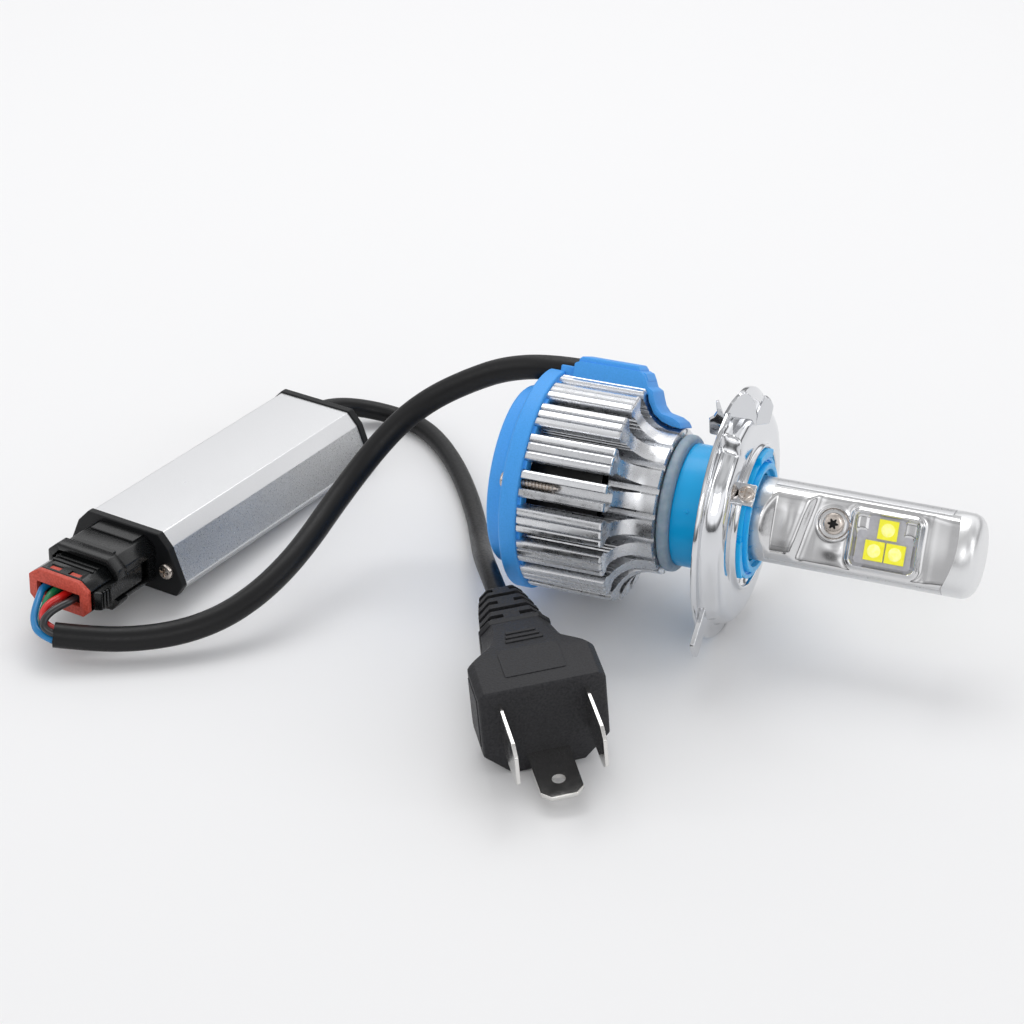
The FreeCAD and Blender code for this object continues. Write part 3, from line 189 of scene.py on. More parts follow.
INNER = {"fan_base": fan_m, "fan_pcb": black_pcb_and_shade_m, "fan_bearing": brass_m, "stator_core": steel_m, "stator_coils": copper_m, "rotor_magnet": ferrite_m, "fan_shaft": screw,
         "driver_pcb": green_pcb, "choke_core": ferrite_m, "choke_winding": copper_m, "capacitors": sleeve_m, "driver_chips": chipb_m, "receptacle_pins": tin_m, "plug_terminals": tin_m,
         "led_board_near": board_m, "led_board_far": board_m}
for nname, nm in INNER.items():
    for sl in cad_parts[nname].material_slots:
        sl.material = nm



# ------------------------------------------------------------------ mesh helpers, all in millimetres of the local frame
def emit(name, verts, faces, mat, T=Matrix(), angle=35, bevel=0.0, seg=2, mats=None, index=None, weld=True):
    me = bpy.data.meshes.new(name)
    me.from_pydata([(T @ Vector(v)) * MM for v in verts], [], faces)
    me.materials.append(mat)
    for extra in mats or ():
        me.materials.append(extra)
    if index:
        for i, p in enumerate(me.polygons):
            p.material_index = index[i]
    bm = bmesh.new()
    bm.from_mesh(me)
    if weld:
        bmesh.ops.remove_doubles(bm, verts=bm.verts, dist=2e-6)
    bmesh.ops.recalc_face_normals(bm, faces=bm.faces)
    bm.to_mesh(me)
    bm.free()
    o = bpy.data.objects.new(name, me)
    scene.collection.objects.link(o)
    shade(o, angle)
    if bevel:
        add_bevel(o, bevel, seg)
    return o


def shade(o, angle=35):
    for p in o.data.polygons:
        p.use_smooth = True
    o.data.set_sharp_from_angle(angle=rad(angle))


def add_bevel(o, width, seg=2, limit=32):
    b = o.modifiers.new("edge", "BEVEL")
    b.width = width * MM
    b.segments = seg
    b.limit_method = "ANGLE"
    b.angle_limit = rad(limit)
    b.harden_normals = True
    b.miter_outer = "MITER_ARC"
    b.use_clamp_overlap = True


def bake(o, angle=None):
    dg = bpy.context.evaluated_depsgraph_get()
    dg.update()
    me = bpy.data.meshes.new_from_object(o.evaluated_get(dg))
    o.modifiers.clear()
    o.data = me
    if angle:
        shade(o, angle)
    return o


def boolean(o, cutters, op="DIFFERENCE", angle=35, solver="EXACT"):
    for c in cutters:
        m = o.modifiers.new("b", "BOOLEAN")
        m.operation = op
        m.object = c
        m.solver = solver
    bake(o, angle)
    for c in cutters:
        bpy.data.objects.remove(c)
    return o


def join(name, objs, angle=None):
    """One object of several, each with its own materials kept."""
    mats, verts, faces, index, sharp = [], [], [], [], []
    dg = bpy.context.evaluated_depsgraph_get()
    dg.update()
    bm = bmesh.new()
    for o in objs:
        me = bpy.data.meshes.new_from_object(o.evaluated_get(dg))
        remap = []
        for mt in me.materials:
            if mt not in mats:
                mats.append(mt)
            remap.append(mats.index(mt))
        for p in me.polygons:
            p.material_index = remap[p.material_index] if remap else 0
        me.transform(o.matrix_world)
        bm.from_mesh(me)
        bpy.data.meshes.remove(me)
    out = bpy.data.meshes.new(name)
    bm.to_mesh(out)
    bm.free()
    for mt in mats:
        out.materials.append(mt)
    for o in objs:
        bpy.data.objects.remove(o)
    r = bpy.data.objects.new(name, out)
    scene.collection.objects.link(r)
    if angle:
        shade(r, angle)
    return r


def fillet(pts, r, seg=5):
    """Rounds a closed polygon's corners; a corner is (a, b) or (a, b, own radius)."""
    out = []
    n = len(pts)
    for i in range(n):
        p = Vector(pts[i][:2])
        a = Vector(pts[i - 1][:2])
        c = Vector(pts[(i + 1) % n][:2])
        rr = pts[i][2] if len(pts[i]) > 2 else r
        u, v = (a - p), (c - p)
        if rr <= 0 or u.length < 1e-6 or v.length < 1e-6:
            out.append((p.x, p.y))
            continue
        ang = u.angle(v)
        if ang > rad(176):
            out.append((p.x, p.y))
            continue
        t = min(rr / math.tan(ang / 2), 0.48 * u.length, 0.48 * v.length)
        re = t * math.tan(ang / 2)
        un, vn = u.normalized(), v.normalized()
        ctr = p + (un + vn).normalized() * (re / math.sin(ang / 2))
        s, e = p + un * t, p + vn * t
        a0 = math.atan2(s.y - ctr.y, s.x - ctr.x)
        a1 = math.atan2(e.y - ctr.y, e.x - ctr.x)
        d = (a1 - a0 + math.pi) % (2 * math.pi) - math.pi
        for k in range(seg + 1):
            t_ = a0 + d * k / seg
            out.append((ctr.x + re * math.cos(t_), ctr.y + re * math.sin(t_)))
    return out


def lathe(name, prof, mat, T=Matrix(), n=128, closed=True, angle=35, warp=None, cx=0.0, cy=0.0, axis="X"):
    """Turns (x, r) about X; warp(x, r, a) can give another (x, r)."""
    verts, faces = [], []
    m = len(prof)
    for j in range(n):
        a = 2 * math.pi * j / n
        for x, r in prof:
            if warp:
                x, r = warp(x, r, a)
            verts.append((x, cx - r * math.sin(a), cy + r * math.cos(a)))
    for j in range(n):
        k = (j + 1) % n
        for i in range(m if closed else m - 1):
            q = (i + 1) % m
            faces.append((j * m + i, j * m + q, k * m + q, k * m + i))
    if axis != "X":
        R = {"Y": Matrix.Rotation(rad(90), 4, "Z"), "-Y": Matrix.Rotation(rad(-90), 4, "Z"), "Z": Matrix.Rotation(rad(-90), 4, "Y"), "-X": Matrix.Rotation(rad(180), 4, "Z")}[axis]
        T = T @ R
    o = emit(name, verts, faces, mat, T, angle)
    return o


def prism(name, loop, d0, d1, mat, T=Matrix(), plane="yz", angle=35, bevel=0.0, seg=2):
    """Extrudes a closed outline. plane yz: outline (y, z) along x; xz: (x, z) along y; xy: (x, y) along z."""
    n = len(loop)
    f = {"yz": lambda a, b, d: (d, a, b), "xz": lambda a, b, d: (a, d, b), "xy": lambda a, b, d: (a, b, d)}[plane]
    verts = [f(a, b, d0) for a, b in loop] + [f(a, b, d1) for a, b in loop]
    faces = [tuple(range(n)), tuple(range(2 * n - 1, n - 1, -1))]
    for i in range(n):
        k = (i + 1) % n
        faces.append((i, k, n + k, n + i))
    return emit(name, verts, faces, mat, T, angle, bevel, seg, weld=False)


def block(name, lo, hi, mat, T=Matrix(), bevel=0.0, seg=2, angle=35):
    return prism(name, [(lo[0], lo[1]), (hi[0], lo[1]), (hi[0], hi[1]), (lo[0], hi[1])], lo[2], hi[2], mat, T, "xy", angle, bevel, seg)


def circle2(r, n=24, cx=0.0, cy=0.0):
    return [(cx + r * math.cos(2 * math.pi * k / n), cy + r * math.sin(2 * math.pi * k / n)) for k in range(n)]


def put(o, body="bulb"):
    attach(o, body)
    return o


def at(T, p):
    return T @ Vector(p)


def pan_screw(name, T, r=1.5, h=0.9, recess="cross", mat=None, depth=0.45):
    """A pan-head screw whose head stands on local z = 0 and rises along +z."""
    mat = mat or screw
    prof = [(0, 0), (0, r * 0.98), (h * 0.30, r), (h * 0.60, r * 0.97), (h * 0.82, r * 0.90), (h * 0.94, r * 0.78), (h, r * 0.60), (h, 0)]
    head = lathe(name, prof, mat, T, n=40, closed=False, angle=40, axis="Z")
    if recess == "cross":
        cut = [block("c", (-r * 0.62, -r * 0.13, h - depth), (r * 0.62, r * 0.13, h + 1), mat, T), block("c", (-r * 0.13, -r * 0.62, h - depth), (r * 0.13, r * 0.62, h + 1), mat, T)]
    else:
        star = []
        for k in range(72):
            a = 2 * math.pi * k / 72
            star.append(((0.40 + 0.11 * math.cos(6 * a)) * r * math.cos(a), (0.40 + 0.11 * math.cos(6 * a)) * r * math.sin(a)))
        cut = [prism("c", star, h - depth, h + 1, mat, T, "xy")]
        head = boolean(head, cut, angle=38)
        # the near-black disc at the foot of the recess is painted shade
        return join(name, [head, prism("recess", star, h - depth - 0.1, h - depth + 0.04, black_pcb_and_shade_m, T, "xy")])
    return boolean(head, cut, angle=38)


# ------------------------------------------------------------------ heat sink: an extrusion of 18 ribs, turned on its outside
def rib(k, port=False):
    """Half outline of one rib, from its middle to the middle of the gap, as (t, r) with t across."""
    if port:
        head = [(0, 15.75), (0.72, 15.75), (0.95, 16.0), (0.95, 17.55), (0.80, 17.75), (0.80, 18.25), (0.98, 18.47), (1.55, 18.44), (1.98, 18.36), (2.24, 18.12), (2.30, 17.75)]
    else:
        head = [(0, 18.5), (0.42, 18.49), (0.62, 18.36), (0.70, 18.08), (0.74, 17.86), (0.86, 17.86), (0.90, 18.06), (0.99, 18.34), (1.20, 18.46), (1.86, 18.38), (2.16, 18.24), (2.30, 17.92), (2.30, 17.5)]
    stem = [(2.30, 17.1), (2.12, 16.8), (1.75, 16.55), (1.45, 16.2), (1.32, 15.8), (1.12, 15.62), (1.32, 15.42), (1.32, 15.1), (1.12, 14.94), (1.32, 14.76), (1.32, 14.4), (1.12, 14.25), (1.32, 14.08), (1.32, 13.6),
            (1.36, 13.2), (1.40, 12.85)]
    out = head + stem
    base = []
    for i, deg in enumerate((6.45, 6.8, 7.15, 7.5, 7.85)):
        r = 12.35 if i % 2 else 12.72
        base.append((r * math.sin(rad(deg)), r * math.cos(rad(deg))))
    base += [(12.4 * math.sin(rad(8.0)), 12.4 * math.cos(rad(8.0))), (11.75 * math.sin(rad(8.05)), 11.75 * math.cos(rad(8.05))), (11.75 * math.sin(rad(9.98)), 11.75 * math.cos(rad(9.98)))]
    return out + base


outline = []
for k in range(18):
    psi = 90 + 20 * k
    half = rib(k, port=k in (0, 9))
    pts = [(-t, r) for t, r in reversed(half[1:])] + [half[0]] + half[1:]
    s, c = math.sin(rad(psi)), math.cos(rad(psi))
    for t, r in pts:
        # rib direction is (-sin, cos); across is (-cos, -sin)
        outline.append((-r * s - t * c, r * c - t * s))
ext = prism("hs_ext", outline, -32.6, -8.8, sink, ROLL, "yz", 30)
scoop = [(-11.1 - 5.3 * math.sin(rad(t)), 17.8 - 5.3 * math.cos(rad(t))) for t in (4, 12, 20, 28, 36, 44, 52, 60, 68, 76, 84, 90)]
turned = [(-9.4, 7.6), (-9.4, 12.25), (-9.6, 12.5), (-11.1, 12.5)] + scoop + [(-16.42, 18.05), (-16.6, 18.34), (-16.9, 18.52), (-31.3, 18.52), (-31.45, 18.3), (-31.45, 13.9), (-18.3, 13.9), (-18.3, 7.6)]
tool = lathe("hs_turn", turned, sink, ROLL, n=240)
boolean(ext, [tool], "INTERSECT", angle=28)
heatsink = ext
heatsink.name = "heatsink_visual"
put(heatsink)
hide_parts("heatsink_body")

# ------------------------------------------------------------------ collar, seal and post
prof = fillet([(-7.2, 8.0), (-7.2, 10.5), (5.2, 10.5), (5.2, 9.75), (4.7, 9.7), (4.7, 9.35), (5.9, 9.3), (5.9, 8.35), (5.0, 8.2), (5.0, 7.55), (-7.2, 7.55)], 0.16, 3)
col = lathe("collar_ring", prof, blue_gloss, ROLL, n=144)
parts = [col]
for a in (10.0, 130.0, 250.0):
    arc = [(-11.73 * math.sin(rad(a - 20 + 2.5 * k)), 11.73 * math.cos(rad(a - 20 + 2.5 * k))) for k in range(17)]
    arc += [(-10.2 * math.sin(rad(a + 20 - 2.5 * k)), 10.2 * math.cos(rad(a + 20 - 2.5 * k))) for k in range(17)]
    parts.append(prism("tab", arc, 3.1, 5.5, blue_gloss, ROLL, "yz", 35, 0.22, 3))
    # the step behind each tab that the flange is twisted against
    st = a - 24
    arc = [(-10.95 * math.sin(rad(st + 1.6 * k)), 10.95 * math.cos(rad(st + 1.6 * k))) for k in range(4)]
    arc += [(-10.2 * math.sin(rad(st + 4.8 - 1.6 * k)), 10.2 * math.cos(rad(st + 4.8 - 1.6 * k))) for k in range(4)]
    parts.append(prism("stop", arc, 3.4, 5.3, blue_gloss, ROLL, "yz", 35, 0.12, 2))
nub = lathe("nub", [(0, 0), (0, 0.42), (0.25, 0.34), (0.34, 0)], blue_gloss, ROLL @ Matrix.Rotation(rad(92), 4, "X") @ Matrix.Translation((-4.6, 0, 10.4)), n=20, closed=False, axis="Z")
parts.append(nub)
collar = join("collar_visual", parts)
put(collar)
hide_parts("bayonet_collar")

seal = lathe("seal_visual", fillet([(-9.32, 9.6), (-9.32, 11.75), (-7.2, 11.75), (-7.2, 9.6)], 0.85, 6), seal_m, ROLL, n=144)
put(seal)
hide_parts("seal_ring")

cyl_part = lathe("post_round", [(-1.0, 0), (-1.0, 7.15), (8.0, 7.15), (8.2, 6.98), (8.2, 0)], post_m, ROLL, n=128, closed=False)
fl = 3.2
za = math.sqrt(7.15 ** 2 - fl ** 2)
a0 = math.degrees(math.atan2(fl, za))
wedges = []
for sg in (-1, 1):
    wedges.append(prism("wedge", [(6.7, sg * 7.45), (8.7, sg * 4.9), (9.4, sg * 4.9), (9.4, sg * 9.0), (6.7, sg * 9.0)], -8.0, 8.0, post_m, ROLL, "xy"))
boolean(cyl_part, wedges, angle=30)
top = [(7.15 * math.sin(rad(-a0 + 2 * a0 * k / 24)), 7.15 * math.cos(rad(-a0 + 2 * a0 * k / 24))) for k in range(25)]
sect = [(-y, z) for y, z in reversed(top)]
sect = [(y, z) for y, z in top] + [(y, -z) for y, z in reversed(top)]
bar = prism("post_bar", sect, 8.0, 38.0, post_m, ROLL, "yz", 35, 0.12, 2)
post = join("post_visual", [cyl_part, bar])
put(post)
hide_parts("led_post")

tip = lathe("tip_visual", [(37.95, 0), (37.95, 6.9), (38.06, 7.06), (38.22, 7.15), (40.5, 7.15), (41.2, 7.09), (41.85, 6.88), (42.4, 6.5), (42.85, 5.95), (43.15, 5.3), (43.32, 4.6), (43.42, 3.4), (43.47, 1.8), (43.48, 0)],
            tip_m, ROLL, n=128, closed=False, angle=50)
seat = [(40.1 - (0.0386 if z < 1.5 else 0.034) * (z - 1.5) ** 2, z) for z in [-6.6 + 0.6 * k for k in range(23)]]
seat = [(35.0, -6.6)] + seat + [(35.0, seat[-1][1])]
cuts = [prism("seat", seat, sg * 3.0, sg * 8.0, tip_m, ROLL, "xz") for sg in (-1, 1)]
boolean(tip, cuts, angle=40)
# a near-black core inside the tip cap, painted shade
tip_shade_core = prism("tip_shade_core", [(y * 0.93, z * 0.93) for y, z in sect], 37.9, 40.4, black_pcb_and_shade_m, ROLL, "yz")
tip = join("tip_visual", [tip, tip_shade_core])
put(tip)
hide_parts("tip_cap")


# ------------------------------------------------------------------ stamped reflector plates with their window, emitters and screw
def smooth01(t):
    t = max(0.0, min(1.0, t))
    return t * t * (3 - 2 * t)


def rrect(x, z, x0, x1, z0, z1, r):
    """Signed distance to a rounded rectangle, negative inside."""
    cx, cz = (x0 + x1) / 2, (z0 + z1) / 2
    qx, qz = abs(x - cx) - (x1 - x0) / 2 + r, abs(z - cz) - (z1 - z0) / 2 + r
    return math.hypot(max(qx, 0), max(qz, 0)) + min(max(qx, qz), 0) - r


SX, SZ = 18.8, 1.55


def plate_end(z):
    """Where the plate meets the tip cap, an arc."""
    return 40.1 - (0.0386 if z < 1.5 else 0.034) * (z - 1.5) ** 2


def plate_height(x, z):
    h1 = 5.12 - 0.14 * smooth01((abs(z) - 2.2) / 3)
    h2 = 4.10 + 0.10 * math.exp(-((z + 1.0) / 3.2) ** 2)
    xs0 = 13.35 + 0.21 * z
    h = h1 + (h2 - h1) * smooth01((x - xs0) / 1.25) + 0.10 * math.exp(-((x - xs0 + 0.35) / 0.45) ** 2) - 0.10 * math.exp(-((x - xs0 - 1.75) / 0.5) ** 2)
    # entry slope from the round part
    if x < 9.0:
        h += 1.12 * (9.0 - x)
    # the window's raised frame, and its shoulders dropping into the opening
    d = rrect(x, z, 22.2, 33.4, -4.55, 4.6, 1.1)
    h += 0.66 * math.exp(-(d / 0.40) ** 2) - 0.16 * smooth01((-d - 0.2) / 0.8) - 0.10 * math.exp(-((d - 1.0) / 0.45) ** 2)
    dt = min(rrect(x, z, 25.15, 30.2, -1.0, 3.85, 0.25), rrect(x, z, 23.35, 32.0, -4.0, 0.98, 0.25))
    if d < 0:
        h -= 0.42 * math.exp(-(max(dt, 0) / 0.55) ** 2)
    # dished seat about the screw
    q = math.hypot(x - SX, z - SZ)
    h += -0.34 * smooth01((2.75 - q) / 0.45) + 0.09 * math.exp(-((q - 2.85) / 0.3) ** 2)
    # shallow press marks
    h += 0.16 * math.exp(-((x - 11.2) / 1.0) ** 2 - ((z - 0.6) / 2.8) ** 2)
    h += 0.20 * math.exp(-((x - 19.4) / 1.6) ** 2 - ((z + 2.9) / 1.2) ** 2) - 0.10 * math.exp(-((x - 16.2) / 0.8) ** 2 - ((z + 1.0) / 3.0) ** 2)
    h += 0.25 * smooth01((x - 35.0) / 3.5) - 0.12 * math.exp(-((x - 35.2) / 0.8) ** 2)
    # edge rolled down to the post's flat
    env = math.sqrt(max(7.05 ** 2 - z * z, 9.0))
    e = (env - h) / 0.22
    if e < 4:
        h = h - 0.22 * math.log1p(math.exp(-e)) if e > -30 else env
    return h


def cut_out(x, z):
    """Inside the T-shaped opening."""
    return (25.15 < x < 30.2 and -1 < z < 3.85) or (23.35 < x < 32.0 and -4.0 < z < 0.98)


xs = [7.0 + 0.12 * i for i in range(int((40.2 - 7.0) / 0.12) + 1)]
xs += [25.15, 30.2, 23.35, 32.0]
xs = sorted(set(round(x, 3) for x in xs))
zs = sorted(set([round(-6.12 + 0.12 * i, 3) for i in range(103)] + [3.85, 0.98, -4.0]))
plates = {}
for side in ("near", "far"):
    T = ROLL @ (Matrix.Rotation(rad(180), 4, "X") if side == "near" else Matrix())
    zf = -1 if side == "near" else 1
    verts, faces, idx = [], [], {}

    def vid(i, j, low=False):
        key = (i, j, low)
        if key not in idx:
            x, z = xs[i], zs[j]
            h = plate_height(x, z)
            idx[key] = len(verts)
            verts.append((x, h - (0.45 if low else 0.0), z * zf))
        return idx[key]
    solid = {}
    for i in range(len(xs) - 1):
        for j in range(len(zs) - 1):
            solid[i, j] = not cut_out((xs[i] + xs[i + 1]) / 2, (zs[j] + zs[j + 1]) / 2) and (xs[i] + xs[i + 1]) / 2 < plate_end((zs[j] + zs[j + 1]) / 2) - 0.12
    for (i, j), ok in solid.items():
        if not ok:
            continue
        faces.append((vid(i, j), vid(i + 1, j), vid(i + 1, j + 1), vid(i, j + 1)))
        for (di, dj, a, b) in ((-1, 0, (i, j), (i, j + 1)), (1, 0, (i + 1, j), (i + 1, j + 1)), (0, -1, (i, j), (i + 1, j)), (0, 1, (i, j + 1), (i + 1, j + 1))):
            if not solid.get((i + di, j + dj), False):
                faces.append((vid(*a), vid(*b), vid(*b, low=True), vid(*a, low=True)))
    pl = emit("reflector_%s_visual" % side, verts, faces, polished, T, 50, weld=False)
    put(pl)
    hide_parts("reflector_" + side)
    # emitters: a yellow square with a paler round middle, on a thin white base; the yellow face and dome carry a faint
    # painted glow (emission), as the LEDs are not lit
    lst = []
    for (cx, cz) in ((28.0, 2.1), (26.2, -1.65), (29.75, -1.65)):
        cz *= zf
        lst.append(block("chip_base", (cx - 1.72, 3.8, cz - 1.72), (cx + 1.72, 4.02, cz + 1.72), board_m, T))
        lst.append(block("chip_face", (cx - 1.66, 4.0, cz - 1.66), (cx + 1.66, 4.26, cz + 1.66), chip_glow_m, T, 0.10, 2))
        lst.append(lathe("chip_dome", [(4.2, 1.16), (4.30, 1.1), (4.36, 0.8), (4.38, 0)], dome_glow_m, T @ Matrix.Translation((cx, 0, cz)), n=32, closed=False, angle=60, axis="Y"))
    ch = join("chips_%s_visual" % side, lst)
    put(ch)
    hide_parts("led_chips_" + side)
    if side == "near":
        scr_T = T @ Matrix.Translation((SX, 3.72, SZ * zf)) @ Matrix.Rotation(rad(-90), 4, "X")
        s1 = pan_screw("ps_near", scr_T, 1.85, 0.80, "lobe", depth=0.5)
    else:
        scr_T = T @ Matrix.Translation((SX, 3.72, SZ * zf)) @ Matrix.Rotation(rad(-90), 4, "X")
        s2 = pan_screw("ps_far", scr_T, 1.85, 0.80, "lobe", depth=0.5)
ps = join("plate_screws_visual", [s1, s2])
put(ps)
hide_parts("plate_screws")

# ------------------------------------------------------------------ flange: a stamped cup with rim, neck and lugs
DENTS = [(2.3, 62, 0.30, 1.3, 10), (2.4, 96, -0.25, 1.2, 9), (2.5, 45, 0.25, 1.0, 6), (2.4, 138, 0.25, 1.2, 7), (2.3, 238, -0.30, 1.1, 8), (2.3, 300, 0.25, 1.2, 9)]


def flange_warp(x, r, a):
    deg = math.degrees(a) % 360
    if 13.2 < r < 21.2 and x > 0.2:
        w = smooth01((r - 13.2) / 2.5) * smooth01((21.2 - r) / 1.6)
        # flattened, raised zone below the top lug
        d = (deg + 180) % 360 - 180
        lift = min(19.3 / math.cos(rad(max(-34, min(34, d - 2)))), 20.2) - 18.2
        k = smooth01((24 - abs(d - 2)) / 7)
        r += w * k * max(lift, 0) * 0.9
        for lug in (120, 240):
            dl = (deg - lug + 180) % 360 - 180
            r += w * 0.9 * math.exp(-(dl / 8.0) ** 2)
        for dx, dd, amp, sx, sd in DENTS:
            q = (deg - dd + 180) % 360 - 180
            r += w * amp * math.exp(-((x - dx) / sx) ** 2 - (q / sd) ** 2)
    return x, r


prof = [(0.0, 21.3), (0.12, 21.5), (0.68, 21.5), (0.8, 21.36), (0.8, 20.2), (0.86, 19.75), (1.02, 19.35), (1.3, 19.0), (1.7, 18.75), (2.1, 18.6), (2.5, 18.5), (2.9, 18.38), (3.25, 18.2), (3.55, 17.9), (3.78, 17.5), (3.92, 17.0),
        (3.98, 16.4), (4.0, 15.6), (4.0, 14.6), (4.0, 13.4), (4.05, 12.9), (4.2, 12.55), (4.5, 12.4), (4.75, 12.35), (4.85, 12.2), (4.85, 11.98), (4.7, 11.85), (3.4, 11.85), (3.2, 12.1), (3.2, 16.4), (3.0, 17.1), (2.5, 17.6),
        (1.6, 17.9), (0.6, 18.4), (0.2, 18.9), (0.0, 19.4)]
cup = lathe("flange_cup", prof, chrome, FLANGE, n=360, angle=55, warp=flange_warp)
parts = [cup]
for a in (120.0, 240.0):
    s, c = math.sin(rad(a)), math.cos(rad(a))

    def pt(r, t):
        return (-r * s - t * c, r * c - t * s)
    lug = fillet([(*pt(18.4, -2.2), 0), (*pt(26.6, -2.2), 1.0), (*pt(26.6, 2.2), 1.0), (*pt(18.4, 2.2), 0)], 0, 5)
    parts.append(prism("lug", lug, 0.82, 1.62, chrome, FLANGE, "yz", 35, 0.14, 2))
# top lug in its own turned plane: u across, v up
TL = FLANGE @ Matrix.Translation((1.6, -1.6, 0)) @ Matrix.Rotation(rad(45), 4, "Z")
tongue = fillet([(-2.7, 17.6, 0), (-2.7, 20.3, 0.3), (-2.2, 21.3, 1), (-1.2, 22.9, 2), (-0.1, 24.0, 2), (1.3, 24.4, 2.5), (2.3, 23.3, 2), (3.1, 21.4, 2), (3.4, 19.3, 1), (3.35, 17.6, 0)], 1, 5)
parts.append(prism("tongue", tongue, -0.38, 0.38, chrome, TL, "xz", 35, 0.10, 2))
ear = fillet([(3.3, 17.6, 0), (3.7, 20.1, 0.5), (4.75, 22.95, 0.2), (5.8, 22.1, 0.6), (6.25, 20.9, 0.6), (6.05, 19.6, 0.6), (5.6, 17.6, 0)], 0.6, 4)
EAR = TL @ Matrix.Translation((3.5, 0, 0)) @ Matrix.Rotation(rad(-16), 4, "Z") @ Matrix.Translation((-3.5, 0, 0))
parts.append(prism("ear", ear, -0.38, 0.38, chrome, EAR, "xz", 35, 0.10, 2))
ear = fillet([(-2.5, 16.9, 0), (-4.9, 17.6, 0.4), (-5.0, 20.3, 0.3), (-4.2, 20.8, 0.5), (-3.75, 21.6, 0.4), (-3.95, 23.6, 0.12), (-3.45, 23.7, 0.12), (-2.6, 20.9, 0.2)], 0.4, 4)
EAR = TL @ Matrix.Translation((-2.6, 0, 0)) @ Matrix.Rotation(rad(-24), 4, "Z") @ Matrix.Translation((2.6, 0, 0))
parts.append(prism("ear", ear, -0.38, 0.38, chrome, EAR, "xz", 35, 0.10, 2))
parts.append(block("screw_pad", (3.9, -1.9, 11.95), (6.75, 1.9, 12.86), chrome, Matrix.Rotation(rad(44), 4, "X"), 0.22, 3))
flange = join("flange_visual", parts)
put(flange, "flange_ring")
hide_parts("flange")
FS = Matrix.Rotation(rad(44), 4, "X") @ Matrix.Translation((5.45, 0, 12.72))
fscrew = pan_screw("flange_screw_visual", FS, 1.4, 1.15, "cross", depth=0.6)
put(fscrew, "flange_ring")
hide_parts("flange_screw")

# ------------------------------------------------------------------ rear cover, its screws and the wire channel
prof = fillet([(-31.46, 14.4), (-31.46, 19.0, 0.35), (-34.1, 19.0, 0.5), (-34.5, 18.4, 0.4), (-34.7, 16.9, 0.5), (-35.6, 15.75, 0.6), (-37.5, 15.35, 0.5), (-38.0, 14.9, 0.5), (-38.0, 13.2, 0.1), (-36.9, 13.2, 0), (-36.9, 13.9, 0), (-33.0, 13.9, 0)], 0.3, 5)
cover_ring = lathe("cover_ring", prof, blue_matte, ROLL, n=192, angle=32)
notch = block("n", (-38.6, -2.7, 17.3), (-31.0, 2.7, 23.0), blue_matte, ROLL)
slotw = [block("w", (-34.62, -16.2 - 1.2, -1.75), (-34.18, -16.2 + 0.9, 1.75), blue_matte, ROLL), block("w", (-34.62, 16.2 - 0.9, -1.75), (-34.18, 16.2 + 1.2, 1.75), blue_matte, ROLL)]
boolean(cover_ring, [notch] + slotw, angle=32)
grille = prism("cover_grille", circle2(13.6, 96), -38.0, -36.9, blue_matte, ROLL, "yz", 35)
cutters = []
for r0, r1, g0, g1 in ((4.2, 8.0, 6, 24), (8.9, 12.9, 3.2, 26.8)):
    for k in range(12):
        pts = [(-r1 * math.sin(rad(30 * k + g0 + (g1 - g0) * j / 4)), r1 * math.cos(rad(30 * k + g0 + (g1 - g0) * j / 4))) for j in range(5)]
        pts += [(-r0 * math.sin(rad(30 * k + g0 + (g1 - g0) * j / 4)), r0 * math.cos(rad(30 * k + g0 + (g1 - g0) * j / 4))) for j in range(4, -1, -1)]
        cutters.append((pts, -38.4, -36.4))
vv, ff = [], []
for pts, d0, d1 in cutters:
    b0 = len(vv)
    n = len(pts)
    vv += [(d0, a, b) for a, b in pts] + [(d1, a, b) for a, b in pts]
    ff += [tuple(range(b0, b0 + n)), tuple(range(b0 + 2 * n - 1, b0 + n - 1, -1))]
    ff += [(b0 + i, b0 + (i + 1) % n, b0 + n + (i + 1) % n, b0 + n + i) for i in range(n)]
cutm = emit("gc", vv, ff, blue_matte, ROLL, weld=False)
boolean(grille, [cutm], angle=32)
add_bevel(grille, 0.12, 2)
parts = [cover_ring, grille]
for k in range(18):
    psi = 90 + 20 * k + 10
    if abs((psi + 180) % 360 - 180) < 12:
        continue
    R = ROLL @ Matrix.Rotation(rad(psi), 4, "X")
    parts.append(block("tooth", (-31.6, -0.75, 15.4), (-30.9, 0.75, 17.9), blue_matte, R, 0.12, 2))
cover = join("cover_visual", parts)
put(cover)
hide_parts("rear_cover")

lst = []
for s in (-1, 1):
    T = ROLL @ Matrix.Translation((-34.28, s * 16.75, 0)) @ Matrix.Rotation(rad(-90), 4, "Y")
    lst.append(pan_screw("cs", T, 1.45, 0.85, "cross", depth=0.4))
    # threaded shank in the heat sink's open port
    vv, ff = [], []
    turns, per = 14, 20
    nrow = turns * per
    for i in range(nrow + 1):
        a = 2 * math.pi * i / per
        x = -34.1 + 8.4 * i / nrow
        for rr, dx in ((0.62, -0.15), (0.88, 0.0), (0.62, 0.15)):
            vv.append((x + dx, s * 16.75 + rr * math.cos(a), rr * math.sin(a)))
    for i in range(nrow):
        for q in range(2):
            ff.append((3 * i + q, 3 * i + q + 1, 3 * i + q + 4, 3 * i + q + 3))
    lst.append(emit("thread", vv, ff, screw, ROLL, 60, weld=False))
    lst.append(lathe("shank", [(-34.2, 0), (-34.2, 0.66), (-25.8, 0.66), (-25.2, 0.2), (-25.2, 0)], screw, ROLL @ Matrix.Translation((0, s * 16.75, 0)), n=20, closed=False))
csc = join("cover_screws_visual", lst)
put(csc)
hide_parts("cover_screws")

